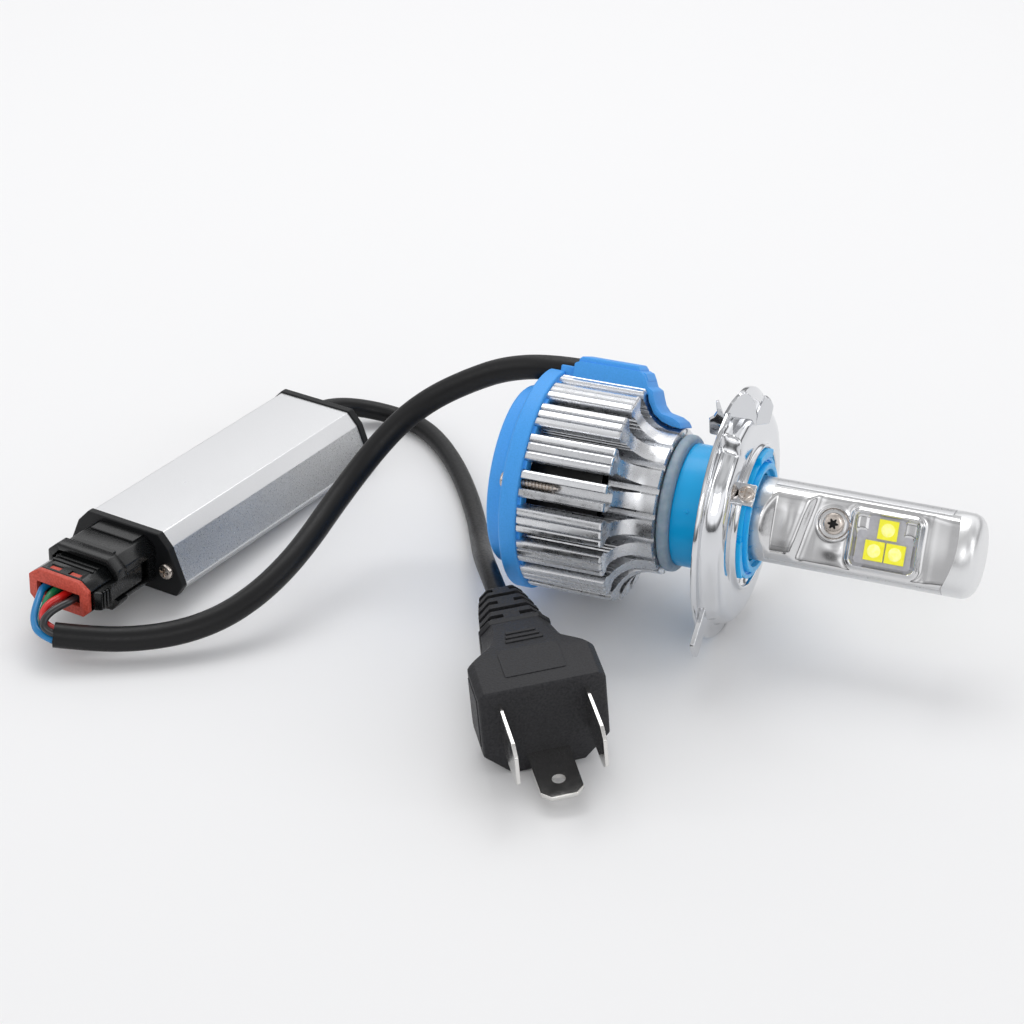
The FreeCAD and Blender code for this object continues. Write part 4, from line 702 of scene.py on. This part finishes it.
side = fillet([(-29.8, 17.3, 0.1), (-29.8, 20.5, 0.5), (-28.9, 20.9, 0.4), (-18.3, 20.9, 0.5), (-17.4, 20.3, 0.5), (-16.9, 19.4, 0.4), (-16.5, 18.5, 0.4), (-15.5, 18.0, 0.5), (-15.1, 16.9, 0.8), (-14.6, 15.7, 1.0),
               (-13.6, 14.55, 1.2), (-11.3, 14.1, 1.0), (-10.1, 13.5, 0.6), (-9.6, 12.75, 0.2), (-9.6, 12.56, 0.05), (-11.3, 12.7, 0.5), (-13.1, 13.2, 1), (-14.7, 14.3, 1), (-15.9, 16.2, 0.6), (-16.2, 17.3, 0.1)], 0.5, 5)
ch1 = prism("channel_block", side, -3.5, 3.5, blue_matte, ROLL, "xz", 32, 0.40, 3)
ch2 = prism("channel_top", fillet([(-29.3, 20.4, 0), (-29.3, 21.3, 0.4), (-28.8, 21.75, 0.3), (-19.0, 21.75, 0.5), (-18.4, 21.1, 0.4), (-18.4, 20.4, 0)], 0.3, 4), -2.9, 3.0, blue_matte, ROLL, "xz", 32, 0.42, 3)
ch3 = prism("channel_step", fillet([(-18.9, 19.8, 0), (-18.9, 20.9, 0.3), (-17.5, 20.7, 0.5), (-16.75, 19.4, 0.4), (-17.3, 18.9, 0)], 0.3, 4), -2.4, 3.3, blue_matte, ROLL, "xz", 32, 0.25, 3)
link = prism("channel_link", fillet([(-32.4, 17.4, 0), (-32.4, 19.8, 0.3), (-29.6, 19.8, 0.3), (-29.6, 17.4, 0)], 0.3, 3), -2.55, 2.55, blue_matte, ROLL, "xz", 32, 0.2, 2)
bore = lathe("bore", [(-35.0, 0), (-35.0, 2.32), (-26.2, 2.32), (-26.2, 0)], black_pcb_and_shade_m, ROLL @ Matrix.Translation((0, 0, 19.1)), n=48, closed=False)
small = block("slot", (-24.6, -0.75, 21.3), (-22.0, -0.25, 22.4), blue_matte, ROLL)
bake(ch1, 32)
bake(ch2, 32)
boolean(ch2, [small], angle=32)
bores = [bore]
boolean(ch1, bores, angle=32)
bore = lathe("bore", [(-35.0, 0), (-35.0, 2.32), (-26.2, 2.32), (-26.2, 0)], black_pcb_and_shade_m, ROLL @ Matrix.Translation((0, 0, 19.1)), n=48, closed=False)
bake(link, 32)
boolean(link, [bore], angle=32)
channel = join("channel_visual", [ch1, ch2, ch3, link])
put(channel)
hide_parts("wire_channel")

# ------------------------------------------------------------------ fan
hub = lathe("hub", fillet([(-29.1, 0, 0), (-29.1, 6.3, 0.6), (-23.5, 6.3, 0.1), (-23.5, 5.5, 0.1), (-28.3, 5.5, 0.1), (-28.3, 0, 0)], 0.3, 4), fan_m, ROLL, n=72)
parts = [hub]
for i in range(7):
    vv, ff = [], []
    R = Matrix.Rotation(rad(360 / 7 * i), 4, "X")
    for iu in range(9):
        u = iu / 8
        r = 6.0 + 7.2 * u
        for iv in range(9):
            v = iv / 8
            ang = rad((v - 0.5) * (38 - 8 * u) + 10 * u)
            x = -28.6 + 4.6 * v + 0.5 * math.sin(math.pi * v)
            vv.append(R @ Vector((x, -r * math.sin(ang), r * math.cos(ang))))
    n1 = len(vv)
    vv += [Vector(p) + R @ Vector((0.35, 0.35, 0)) for p in vv]
    for iu in range(8):
        for iv in range(8):
            q = iu * 9 + iv
            ff.append((q, q + 1, q + 10, q + 9))
            ff.append((n1 + q, n1 + q + 9, n1 + q + 10, n1 + q + 1))
    rim = [iv for iv in range(9)] + [iu * 9 + 8 for iu in range(1, 9)] + [72 + iv for iv in range(7, -1, -1)] + [iu * 9 for iu in range(7, 0, -1)]
    for a, b in zip(rim, rim[1:] + rim[:1]):
        ff.append((a, b, n1 + b, n1 + a))
    parts.append(emit("blade", vv, ff, fan_m, ROLL, 40, weld=False))
frame_ring = lathe("fan_frame_ring", fillet([(-31.4, 13.5), (-31.4, 13.86), (-18.9, 13.86), (-18.9, 13.5)], 0.08, 2), fan_m, ROLL, n=120)
spokes = [frame_ring, lathe("fan_frame_hub", fillet([(-31.6, 0.0, 0), (-31.6, 6.6, 0.3), (-30.7, 6.9, 0.2), (-30.7, 0.0, 0)], 0.1, 2), fan_m, ROLL, n=72, closed=False)]
for k in range(4):
    spokes.append(block("spoke", (-31.5, -0.7, 6.4), (-30.7, 0.7, 13.6), fan_m, ROLL @ Matrix.Rotation(rad(45 + 90 * k), 4, "X"), 0.1, 2))
ff_vis = join("fan_frame_visual", spokes)
put(ff_vis)
fan = join("impeller_visual", parts)
put(fan, "fan_rotor")
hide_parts("impeller")

# ------------------------------------------------------------------ driver box
CASE = [(-7.5, 10.6, 0.45), (7.5, 10.6, 0.45), (9.6, 8.4, 0.6), (12.3, 2.0, 0.7), (11.0, 0.0, 0.6), (-11.0, 0.0, 0.6), (-12.3, 2.0, 0.7), (-9.6, 8.4, 0.6)]


def grown(g):
    return [(-7.5 - 0.55 * g, 10.6 + g, 0.5), (7.5 + 0.55 * g, 10.6 + g, 0.5), (9.6 + g, 8.4 + 0.35 * g, 0.6), (12.3 + g, 2.0 - 0.3 * g, 0.7), (11.0 + 0.5 * g, -g, 0.6), (-11.0 - 0.5 * g, -g, 0.6), (-12.3 - g, 2.0 - 0.3 * g, 0.7), (-9.6 - g, 8.4 + 0.35 * g, 0.6)]


case = prism("driver_case_visual", fillet(CASE, 0.5, 5), 0.0, 56.0, case_m, DRV, "xz", 25)
case.data.materials.append(side_grain_and_shade_m)
inv = DRV.to_3x3().inverted()
# side faces get the darker material, whose darkness is painted shade
for p in case.data.polygons:
    if abs((inv @ p.normal).x) > 0.85:
        p.material_index = 1
put(case)
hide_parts("driver_case")


def hollow(outer, inner, y0, y1, mat):
    """A tube with an outer and an inner outline of the same number of points."""
    n = len(outer)
    vv = [(a, y0, b) for a, b in outer] + [(a, y1, b) for a, b in outer] + [(a, y0, b) for a, b in inner] + [(a, y1, b) for a, b in inner]
    ff = []
    for i in range(n):
        k = (i + 1) % n
        ff += [(i, k, n + k, n + i), (2 * n + i, 3 * n + i, 3 * n + k, 2 * n + k), (i, 2 * n + i, 2 * n + k, k), (n + i, n + k, 3 * n + k, 3 * n + i)]
    return emit("tube", vv, ff, mat, DRV, 35, 0.16, 2, weld=False)


front = prism("front_plate", fillet(grown(0.28), 0.5, 5), -1.6, 0.0, cap_m, DRV, "xz", 30, 0.28, 3)
inner_w = [(-5.0, 8.95), (5.0, 8.95), (6.55, 7.5), (6.55, 3.2), (5.4, 1.95), (-5.4, 1.95), (-6.55, 3.2), (-6.55, 7.5)]
shr = [(-5.2, 9.8), (5.2, 9.8), (7.0, 8.2), (7.0, 2.6), (5.6, 1.0), (-5.6, 1.0), (-7.0, 2.6), (-7.0, 8.2)]
lip = [(-5.4, 10.3), (5.4, 10.3), (7.5, 8.5), (7.5, 2.4), (5.9, 0.6), (-5.9, 0.6), (-7.5, 2.4), (-7.5, 8.5)]
sh = hollow(fillet(shr, 0.5, 4), fillet(inner_w, 0.3, 4), -10.4, -1.4, conn_m)
lp = hollow(fillet(lip, 0.55, 4), fillet(inner_w, 0.3, 4), -12.6, -10.1, conn_m)
bake(sh, 35)
bake(lp, 35)
gap1 = block("gap", (6.2, -13.2, 2.9), (9.0, -3.6, 6.9), conn_m, DRV)
boolean(sh, [gap1], angle=35)
gap1 = block("gap", (6.2, -13.2, 2.9), (9.0, -3.6, 6.9), conn_m, DRV)
boolean(lp, [gap1], angle=35)
rib_t = block("shroud_rib", (-4.4, -9.9, 9.6), (4.4, -8.9, 10.1), conn_m, DRV, 0.15, 2)
pad_t = block("shroud_pad", (-4.6, -4.6, 9.6), (4.6, -1.4, 10.05), conn_m, DRV, 0.18, 2)
fcap = join("front_cap_visual", [front, sh, lp, rib_t, pad_t])
put(fcap)
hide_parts("front_cap")
rcap = prism("rear_cap_visual", fillet(grown(0.28), 0.5, 5), 56.0, 57.6, cap_m, DRV, "xz", 30, 0.28, 3)
put(rcap)
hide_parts("rear_cap")
gl = lathe("gland_visual", [(56.9, 1.8), (56.9, 3.05), (57.75, 3.0), (58.1, 2.85), (58.6, 2.55), (58.95, 2.35), (58.95, 1.76), (56.9, 1.76)], gland_m, DRV @ Matrix.Translation((-4.0, 0, 5.3)), n=48, axis="Y")
put(gl)
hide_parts("gland")
lst = []
for sx in (-9.3, 9.3):
    lst.append(pan_screw("capscrew", DRV @ Matrix.Translation((sx, -1.58, 4.3)) @ Matrix.Rotation(rad(90), 4, "X"), 1.45, 0.8, "cross", depth=0.42))
    lst.append(pan_screw("capscrew", DRV @ Matrix.Translation((sx, 57.58, 4.3)) @ Matrix.Rotation(rad(-90), 4, "X"), 1.45, 0.8, "cross", depth=0.42))
cps = join("cap_screws_visual", lst)
put(cps)
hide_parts("cap_screws")

# four-way plug, its retainer and its latch
tail_o = [(-4.3, 8.6), (4.3, 8.6), (6.3, 7.2), (6.3, 3.4), (5.2, 2.3), (-5.2, 2.3), (-6.3, 3.4), (-6.3, 7.2)]
nose = prism("nose", fillet([(-4.7, 8.6), (4.7, 8.6), (6.2, 7.2), (6.2, 3.3), (5.2, 2.3), (-5.2, 2.3), (-6.2, 3.3), (-6.2, 7.2)], 0.3, 3), -12.9, -4.4, conn_m, DRV, "xz", 30)
tail = prism("tail", fillet(tail_o, 0.35, 4), -18.2, -12.6, conn_m, DRV, "xz", 30, 0.18, 2)
bake(tail, 30)
cut = [block("w", (-3.4, -17.7, 6.9), (-0.9, -16.3, 9.2), conn_m, DRV), block("w", (0.9, -17.7, 6.9), (3.4, -16.3, 9.2), conn_m, DRV), block("p", (-4.6, -18.6, 4.1), (4.6, -15.6, 6.7), conn_m, DRV),
       block("l", (5.0, -18.6, 3.1), (7.6, -12.0, 7.0), conn_m, DRV)]
boolean(tail, cut, angle=30)
r1 = block("r1", (-4.5, -14.1, 8.3), (4.5, -13.6, 8.95), conn_m, DRV, 0.12, 2)
r2 = block("r2", (-4.4, -15.3, 8.3), (4.4, -14.8, 8.9), conn_m, DRV, 0.12, 2)
r3 = block("r3", (-4.4, -18.2, 8.3), (4.4, -17.75, 8.75), conn_m, DRV, 0.10, 2)
mid_r = block("r4", (-0.6, -15.4, 8.3), (0.6, -14.1, 8.85), conn_m, DRV, 0.10, 2)
tabr = block("r5", (-6.6, -15.2, 4.6), (-6.1, -13.2, 6.4), conn_m, DRV, 0.12, 2)
for o in (r3, mid_r):
    bpy.data.objects.remove(o)
hs = join("plug_housing_visual", [nose, tail, r1, r2, tabr])
put(hs)
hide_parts("plug_housing")
ret = prism("retainer_face", fillet(tail_o, 0.35, 4), -19.3, -18.25, red_m, DRV, "xz", 30, 0.14, 2)
bake(ret, 30)
wh = []
for x in (-3.6, -1.2, 1.2, 3.6):
    wh.append(prism("h", circle2(0.92, 24, x, 5.38), -19.8, -17.9, red_m, DRV, "xz"))
wh.append(block("h", (-4.62, -19.8, 4.05), (4.62, -17.9, 6.35), red_m, DRV))
boolean(ret, wh, angle=32)
t1 = block("t1", (-4.5, -18.3, 6.25), (4.5, -15.9, 6.65), red_m, DRV, 0.08, 2)
t2 = block("t2", (-3.3, -17.6, 6.6), (-1.0, -16.4, 8.35), red_m, DRV, 0.1, 2)
t3 = block("t3", (1.0, -17.6, 6.6), (3.3, -16.4, 8.35), red_m, DRV, 0.1, 2)
rt = join("retainer_visual", [ret, t1, t2, t3])
put(rt, "retainer")
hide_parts("wire_retainer")
lev = prism("latch_visual", fillet([(5.45, -4.9, 0.2), (5.45, -17.6, 0.3), (6.6, -17.95, 0.5), (7.7, -17.4, 0.5), (7.9, -15.2, 0.6), (7.3, -14.2, 0.6), (7.1, -12.4, 0.6), (7.0, -5.6, 0.4), (6.4, -4.9, 0.3)], 0.3, 4), 3.4, 6.7, conn_m, DRV, "xy", 30, 0.3, 3)
bake(lev, 30)
cutg = [block("g", (7.35, -17.0 + 0.75 * k, 3.0), (8.3, -16.68 + 0.75 * k, 7.1), conn_m, DRV) for k in range(3)]
boolean(lev, cutg, angle=30)
put(lev, "latch")
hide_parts("latch_lever")


# ------------------------------------------------------------------ three-blade plug
def psec(w2, up, dn, ct, cl, r=0.45):
    return fillet([(-w2 + ct, up), (w2 - ct, up), (w2, up - ct), (w2, dn + cl), (w2 - cl, dn), (-w2 + cl, dn), (-w2, dn + cl), (-w2, up - ct)], r, 4)


secs = [(0.0, 9.45, 7.65, -7.65, 1.3, 3.9), (0.12, 9.72, 7.92, -7.92, 1.1, 4.0), (0.4, 9.9, 8.1, -8.1, 1.0, 4.15), (0.8, 9.95, 8.15, -8.15, 1.0, 4.2), (7.9, 9.95, 8.15, -8.15, 1.0, 4.2), (8.5, 9.86, 8.13, -8.08, 1.0, 4.15),
        (9.2, 9.5, 8.06, -7.95, 1.1, 3.95), (10.2, 8.75, 7.92, -7.72, 1.3, 3.6), (11.2, 7.95, 7.74, -7.4, 1.5, 3.2), (12.2, 7.3, 7.5, -7.05, 1.7, 2.9), (14.0, 6.65, 7.0, -6.5, 1.9, 2.6), (17.0, 6.05, 6.2, -5.7, 1.9, 2.3),
        (20.5, 5.55, 5.3, -4.9, 1.8, 2.0), (21.5, 5.4, 5.0, -4.6, 1.8, 1.9), (24.0, 5.1, 4.75, -4.4, 1.9, 1.9), (27.0, 4.7, 4.4, -4.1, 1.9, 1.9), (30.0, 4.1, 3.9, -3.6, 1.7, 1.7), (32.4, 3.5, 3.35, -3.1, 1.4, 1.4), (33.0, 3.0, 2.9, -2.7, 1.2, 1.2)]
vv, ff = [], []
for s in secs:
    ring_ = psec(*s[1:])
    m = len(ring_)
    vv += [(a, s[0], b) for a, b in ring_]
for i in range(len(secs) - 1):
    for j in range(m):
        k = (j + 1) % m
        ff.append((i * m + j, i * m + k, (i + 1) * m + k, (i + 1) * m + j))
ff.append(tuple(range(m)))
ff.append(tuple(range(len(secs) * m - 1, (len(secs) - 1) * m - 1, -1)))
pbody = emit("plug_shell", vv, ff, plug_m, PLUG, 22, weld=False)
boot_cut = []
for i, y in enumerate((22.4, 24.6, 26.8, 29.0, 31.0)):
    w = 1.0
    # staggered slots: alternately cut in from above and below, and from the two sides
    if i % 2 == 0:
        boot_cut.append(block("s", (1.3, y, -6), (8, y + w, 6), boot_m, PLUG))
        boot_cut.append(block("s", (-8, y, -6), (-1.3, y + w, 6), boot_m, PLUG))
    else:
        boot_cut.append(block("s", (-8, y, 1.9), (8, y + w, 8), boot_m, PLUG))
        boot_cut.append(block("s", (-8, y, -8), (8, y + w, -1.7), boot_m, PLUG))
core_ = prism("boot_core", circle2(2.35, 40, 0, 0.1), 21.0, 32.9, boot_m, PLUG, "xz", 35)
boolean(pbody, boot_cut, angle=25)
panel = prism("panel", fillet([(-5.0, 3.2, 0.3), (4.6, 3.2, 0.3), (4.6, 9.9, 1.3), (-5.0, 9.9, 1.3)], 1, 6), 6.5, 8.29, plug_m, PLUG, "xy", 30, 0.10, 2)
ribs = []
for y, w in ((12.6, 3.0), (14.2, 2.7), (15.8, 2.4)):
    zt = 7.5 - (y - 12.2) * 0.275
    ribs.append(block("rb", (-w, y - 0.3, zt - 1.0), (w, y + 0.3, zt + 0.30), plug_m, PLUG, 0.14, 2))
collar_b = prism("boot_collar", psec(5.75, 5.35, -4.95, 1.7, 1.9), 20.4, 21.7, boot_m, PLUG, "xz", 30, 0.25, 2)
sidebar = [block("sb", (s * 9.95 - 0.16, 1.2, -2.6), (s * 9.95 + 0.16, 7.4, 6.4), plug_m, PLUG, 0.12, 2) for s in (-1, 1)]
pb = join("plug_body_visual", [pbody, core_, panel, collar_b] + ribs + sidebar)
grow = PLUG.copy()
grow.translation *= MM
pb.data.transform(grow @ Matrix.Diagonal((1.035, 1.03, 1.03, 1)) @ grow.inverted())
put(pb)
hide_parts("plug_body")
bl = []
for s in (-1, 1):
    up = fillet([(3.9, 6.3, 0), (3.9, -1.75, 0), (-10.4, -1.75, 0.6), (-12.0, -0.4, 0.5), (-12.0, 4.7, 0.5), (-10.2, 6.3, 0.6)], 0.3, 4)
    o = prism("blade", [(a, b) for a, b in up], 7.0 * s - 0.32, 7.0 * s + 0.32, tin_m, PLUG, "yz", 30, 0.13, 2)
    bl.append(o)
flat = prism("flatblade", fillet([(-3.5, 3.9, 0), (-3.5, -10.1, 0.6), (-2.1, -11.6, 0.5), (2.1, -11.6, 0.5), (3.5, -10.1, 0.6), (3.5, 3.9, 0)], 0.3, 4), -5.52, -4.72, tin_m, PLUG, "xy", 30, 0.13, 2)
bake(flat, 30)
hole_ = prism("hole", circle2(1.1, 32, 0, -7.5), -7, -3, tin_m, PLUG, "xy")
boolean(flat, [hole_], angle=30)
bl.append(flat)
blades = join("plug_blades_visual", bl)
put(blades)
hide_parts("plug_blades")


# ------------------------------------------------------------------ cords
def on_drv(x, y, z):
    return tuple(DRV @ Vector((x, y, z)))


def on_plug(x, y, z):
    return tuple(PLUG @ Vector((x, y, z)))


def on_bulb(x, y, z):
    return tuple(ROLL @ Vector((x, y, z)))


def curve(name, pts, d, mat):
    cu = bpy.data.curves.new(name, "CURVE")
    cu.dimensions = "3D"
    sp = cu.splines.new("NURBS")
    sp.points.add(len(pts) - 1)
    for p, co in zip(sp.points, pts):
        p.co = (co[0] * MM, co[1] * MM, co[2] * MM, 1)
    sp.order_u = 3
    sp.use_endpoint_u = True
    sp.resolution_u = 14
    cu.bevel_depth = d / 2 * MM
    cu.bevel_resolution = 8
    cu.use_fill_caps = True
    cu.materials.append(mat)
    o = bpy.data.objects.new(name, cu)
    scene.collection.objects.link(o)
    return o


LEAD = [on_bulb(-26.25, 0, 19.1), on_bulb(-34.2, 0, 19.15), (-43.39, 9.16, 14.87), (-50.74, 8.91, 10.98), (-56.80, 7.52, 7.24), (-61.41, 4.81, 3.35), (-64.74, 0.89, -0.82), (-67.06, -4.50, -4.53),
        (-68.46, -11.14, -7.30), (-69.32, -18.27, -9.59), (-70.67, -25.28, -11.72), (-73.09, -31.77, -13.88), (-76.76, -37.45, -15.83), (-81.72, -42.23, -17.05), (-87.72, -46.20, -17.44),
        (-94.39, -49.49, -17.16), (-101.20, -51.96, -16.28)]
INPUT = [on_drv(-4, 58.64, 5.3), on_drv(-4, 62.1, 5.3), (-89.92, 40.37, -17.05), (-85.79, 43.66, -18.34), (-80.18, 44.92, -19.39), (-73.73, 43.33, -19.70), (-67.13, 37.60, -19.70), (-60.75, 29.59, -19.70),
         (-55.17, 21.04, -19.70), (-50.65, 12.87, -19.36), (-47.02, 5.13, -18.06), (-43.71, -2.45, -15.61), (-40.21, -9.97, -12.71), (-36.43, -17.07, -10.61), on_plug(0, 36.2, 0.1), on_plug(0, 31.8, 0.1)]
CORES = {
    "blue": [on_drv(-3.6, -14.64, 5.35), (-107.30, -44.07, -12.76), (-106.80, -46.06, -13.12), (-106.27, -48.81, -14.07), (-105.55, -50.93, -15.03), (-103.91, -52.69, -16.18), (-101.05, -52.62, -16.95)],
    "green": [on_drv(-1.2, -14.64, 5.35), (-104.95, -44.53, -12.76), (-105.13, -46.15, -13.15), (-105.01, -48.30, -14.15), (-104.57, -49.94, -15.14), (-103.44, -51.33, -16.27), (-101.50, -51.36, -16.95)],
    "red": [on_drv(1.2, -14.64, 5.35), (-102.59, -44.99, -12.76), (-104.01, -47.89, -12.95), (-104.22, -49.90, -13.64), (-103.76, -50.90, -14.35), (-102.67, -51.45, -15.16), (-101.35, -51.30, -15.61)],
    "black": [on_drv(3.6, -14.64, 5.35), (-100.24, -45.45, -12.76), (-102.30, -49.54, -12.91), (-102.95, -51.81, -13.61), (-102.74, -52.64, -14.34), (-101.93, -52.84, -15.17), (-100.90, -52.56, -15.61)],
}
for cname, pts in CORES.items():
    w = curve("wire_%s_visual" % cname, pts, 1.3, core_mats[cname])
    put(w)
    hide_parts("wire_" + cname)
lead = curve("bulb_lead_visual", LEAD, 4.3, cord_m)
put(lead)
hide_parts("bulb_lead")
inp = curve("input_lead_visual", INPUT, 3.5, cord_m)
put(inp)
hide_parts("input_lead")

# ------------------------------------------------------------------ floor, light and camera
fl_me = bpy.data.meshes.new("floor")
S = 3.0
zf = -0.02155
fl_me.from_pydata([(-S, -S, zf), (S, -S, zf), (S, S, zf), (-S, S, zf)], [], [(0, 1, 2, 3)])
floor = bpy.data.objects.new("floor", fl_me)
scene.collection.objects.link(floor)
floor_m = material("floor_paper", (0.86, 0.86, 0.865), 0.75, 0.0, **{"Specular IOR Level": 0.2})
fl_me.materials.append(floor_m)


def area(name, loc, target, sx, sy, power, color=(1, 1, 1)):
    d = bpy.data.lights.new(name, "AREA")
    d.shape = "RECTANGLE"
    d.size, d.size_y = sx, sy
    d.energy = power
    d.color = color
    o = bpy.data.objects.new(name, d)
    o.location = loc
    o.rotation_euler = (Vector(target) - Vector(loc)).to_track_quat("-Z", "Y").to_euler()
    scene.collection.objects.link(o)
    return o


area("key", (-0.14, 0.30, 0.60), (-0.03, -0.02, 0), 0.50, 0.36, 1.5)
area("front_soft", (0.30, -0.75, 0.55), (-0.02, -0.02, 0), 0.30, 0.16, 0.55)
area("left_strip", (-0.62, -0.28, 0.26), (-0.05, -0.02, 0), 0.10, 0.45, 0.35)
area("right_strip", (0.58, 0.02, 0.22), (0, 0, 0), 0.10, 0.45, 0.30)

world = bpy.data.worlds.new("studio")
scene.world = world
world.use_nodes = True
wn, wl = world.node_tree.nodes, world.node_tree.links
bg = wn["Background"]
tc = wn.new("ShaderNodeTexCoord")
sep = wn.new("ShaderNodeSeparateXYZ")
ramp = wn.new("ShaderNodeValToRGB")
wl.new(tc.outputs["Generated"], sep.inputs["Vector"])
wl.new(sep.outputs["Z"], ramp.inputs["Fac"])
el = ramp.color_ramp.elements
el[0].position, el[0].color = 0.0, (0.20, 0.20, 0.21, 1)
el[1].position, el[1].color = 1.0, (0.80, 0.80, 0.80, 1)
for pos, v in ((0.07, 0.24), (0.16, 0.42), (0.24, 0.95), (0.45, 1.0), (0.62, 0.72), (0.80, 0.98)):
    e = el.new(pos)
    e.color = (v, v, v * 1.01, 1)
patch = wn.new("ShaderNodeTexNoise")
patch.inputs["Scale"].default_value = 1.7
patch.inputs["Detail"].default_value = 1.0
wl.new(tc.outputs["Generated"], patch.inputs["Vector"])
pr = wn.new("ShaderNodeMapRange")
pr.inputs["From Min"].default_value = 0.40
pr.inputs["From Max"].default_value = 0.58
pr.inputs["To Min"].default_value = 0.55
pr.inputs["To Max"].default_value = 1.18
wl.new(patch.outputs["Fac"], pr.inputs["Value"])
mixer = wn.new("ShaderNodeMix")
mixer.data_type = "RGBA"
mixer.blend_type = "MULTIPLY"
mixer.inputs["Factor"].default_value = 1.0
wl.new(ramp.outputs["Color"], mixer.inputs["A"])
wl.new(pr.outputs["Result"], mixer.inputs["B"])
wl.new(mixer.outputs["Result"], bg.inputs["Color"])
bg.inputs["Strength"].default_value = 1.05

cam_d = bpy.data.cameras.new("camera")
cam = bpy.data.objects.new("camera", cam_d)
scene.collection.objects.link(cam)
back, right, upv = Vector((0.3048, -0.8089, 0.5029)), Vector((0.9357, 0.3527, 0.0)), Vector((-0.1774, 0.4706, 0.8644))
cam_d.sensor_width = 36
cam_d.lens = 104.5
cam_d.clip_start = 0.01
cam_d.dof.use_dof = False
cam.matrix_world = Matrix(((right.x, upv.x, back.x, 0.1183), (right.y, upv.y, back.y, -0.4173), (right.z, upv.z, back.z, 0.2514), (0, 0, 0, 1)))
scene.camera = cam
scene.view_settings.view_transform = "Standard"
scene.view_settings.look = "None"
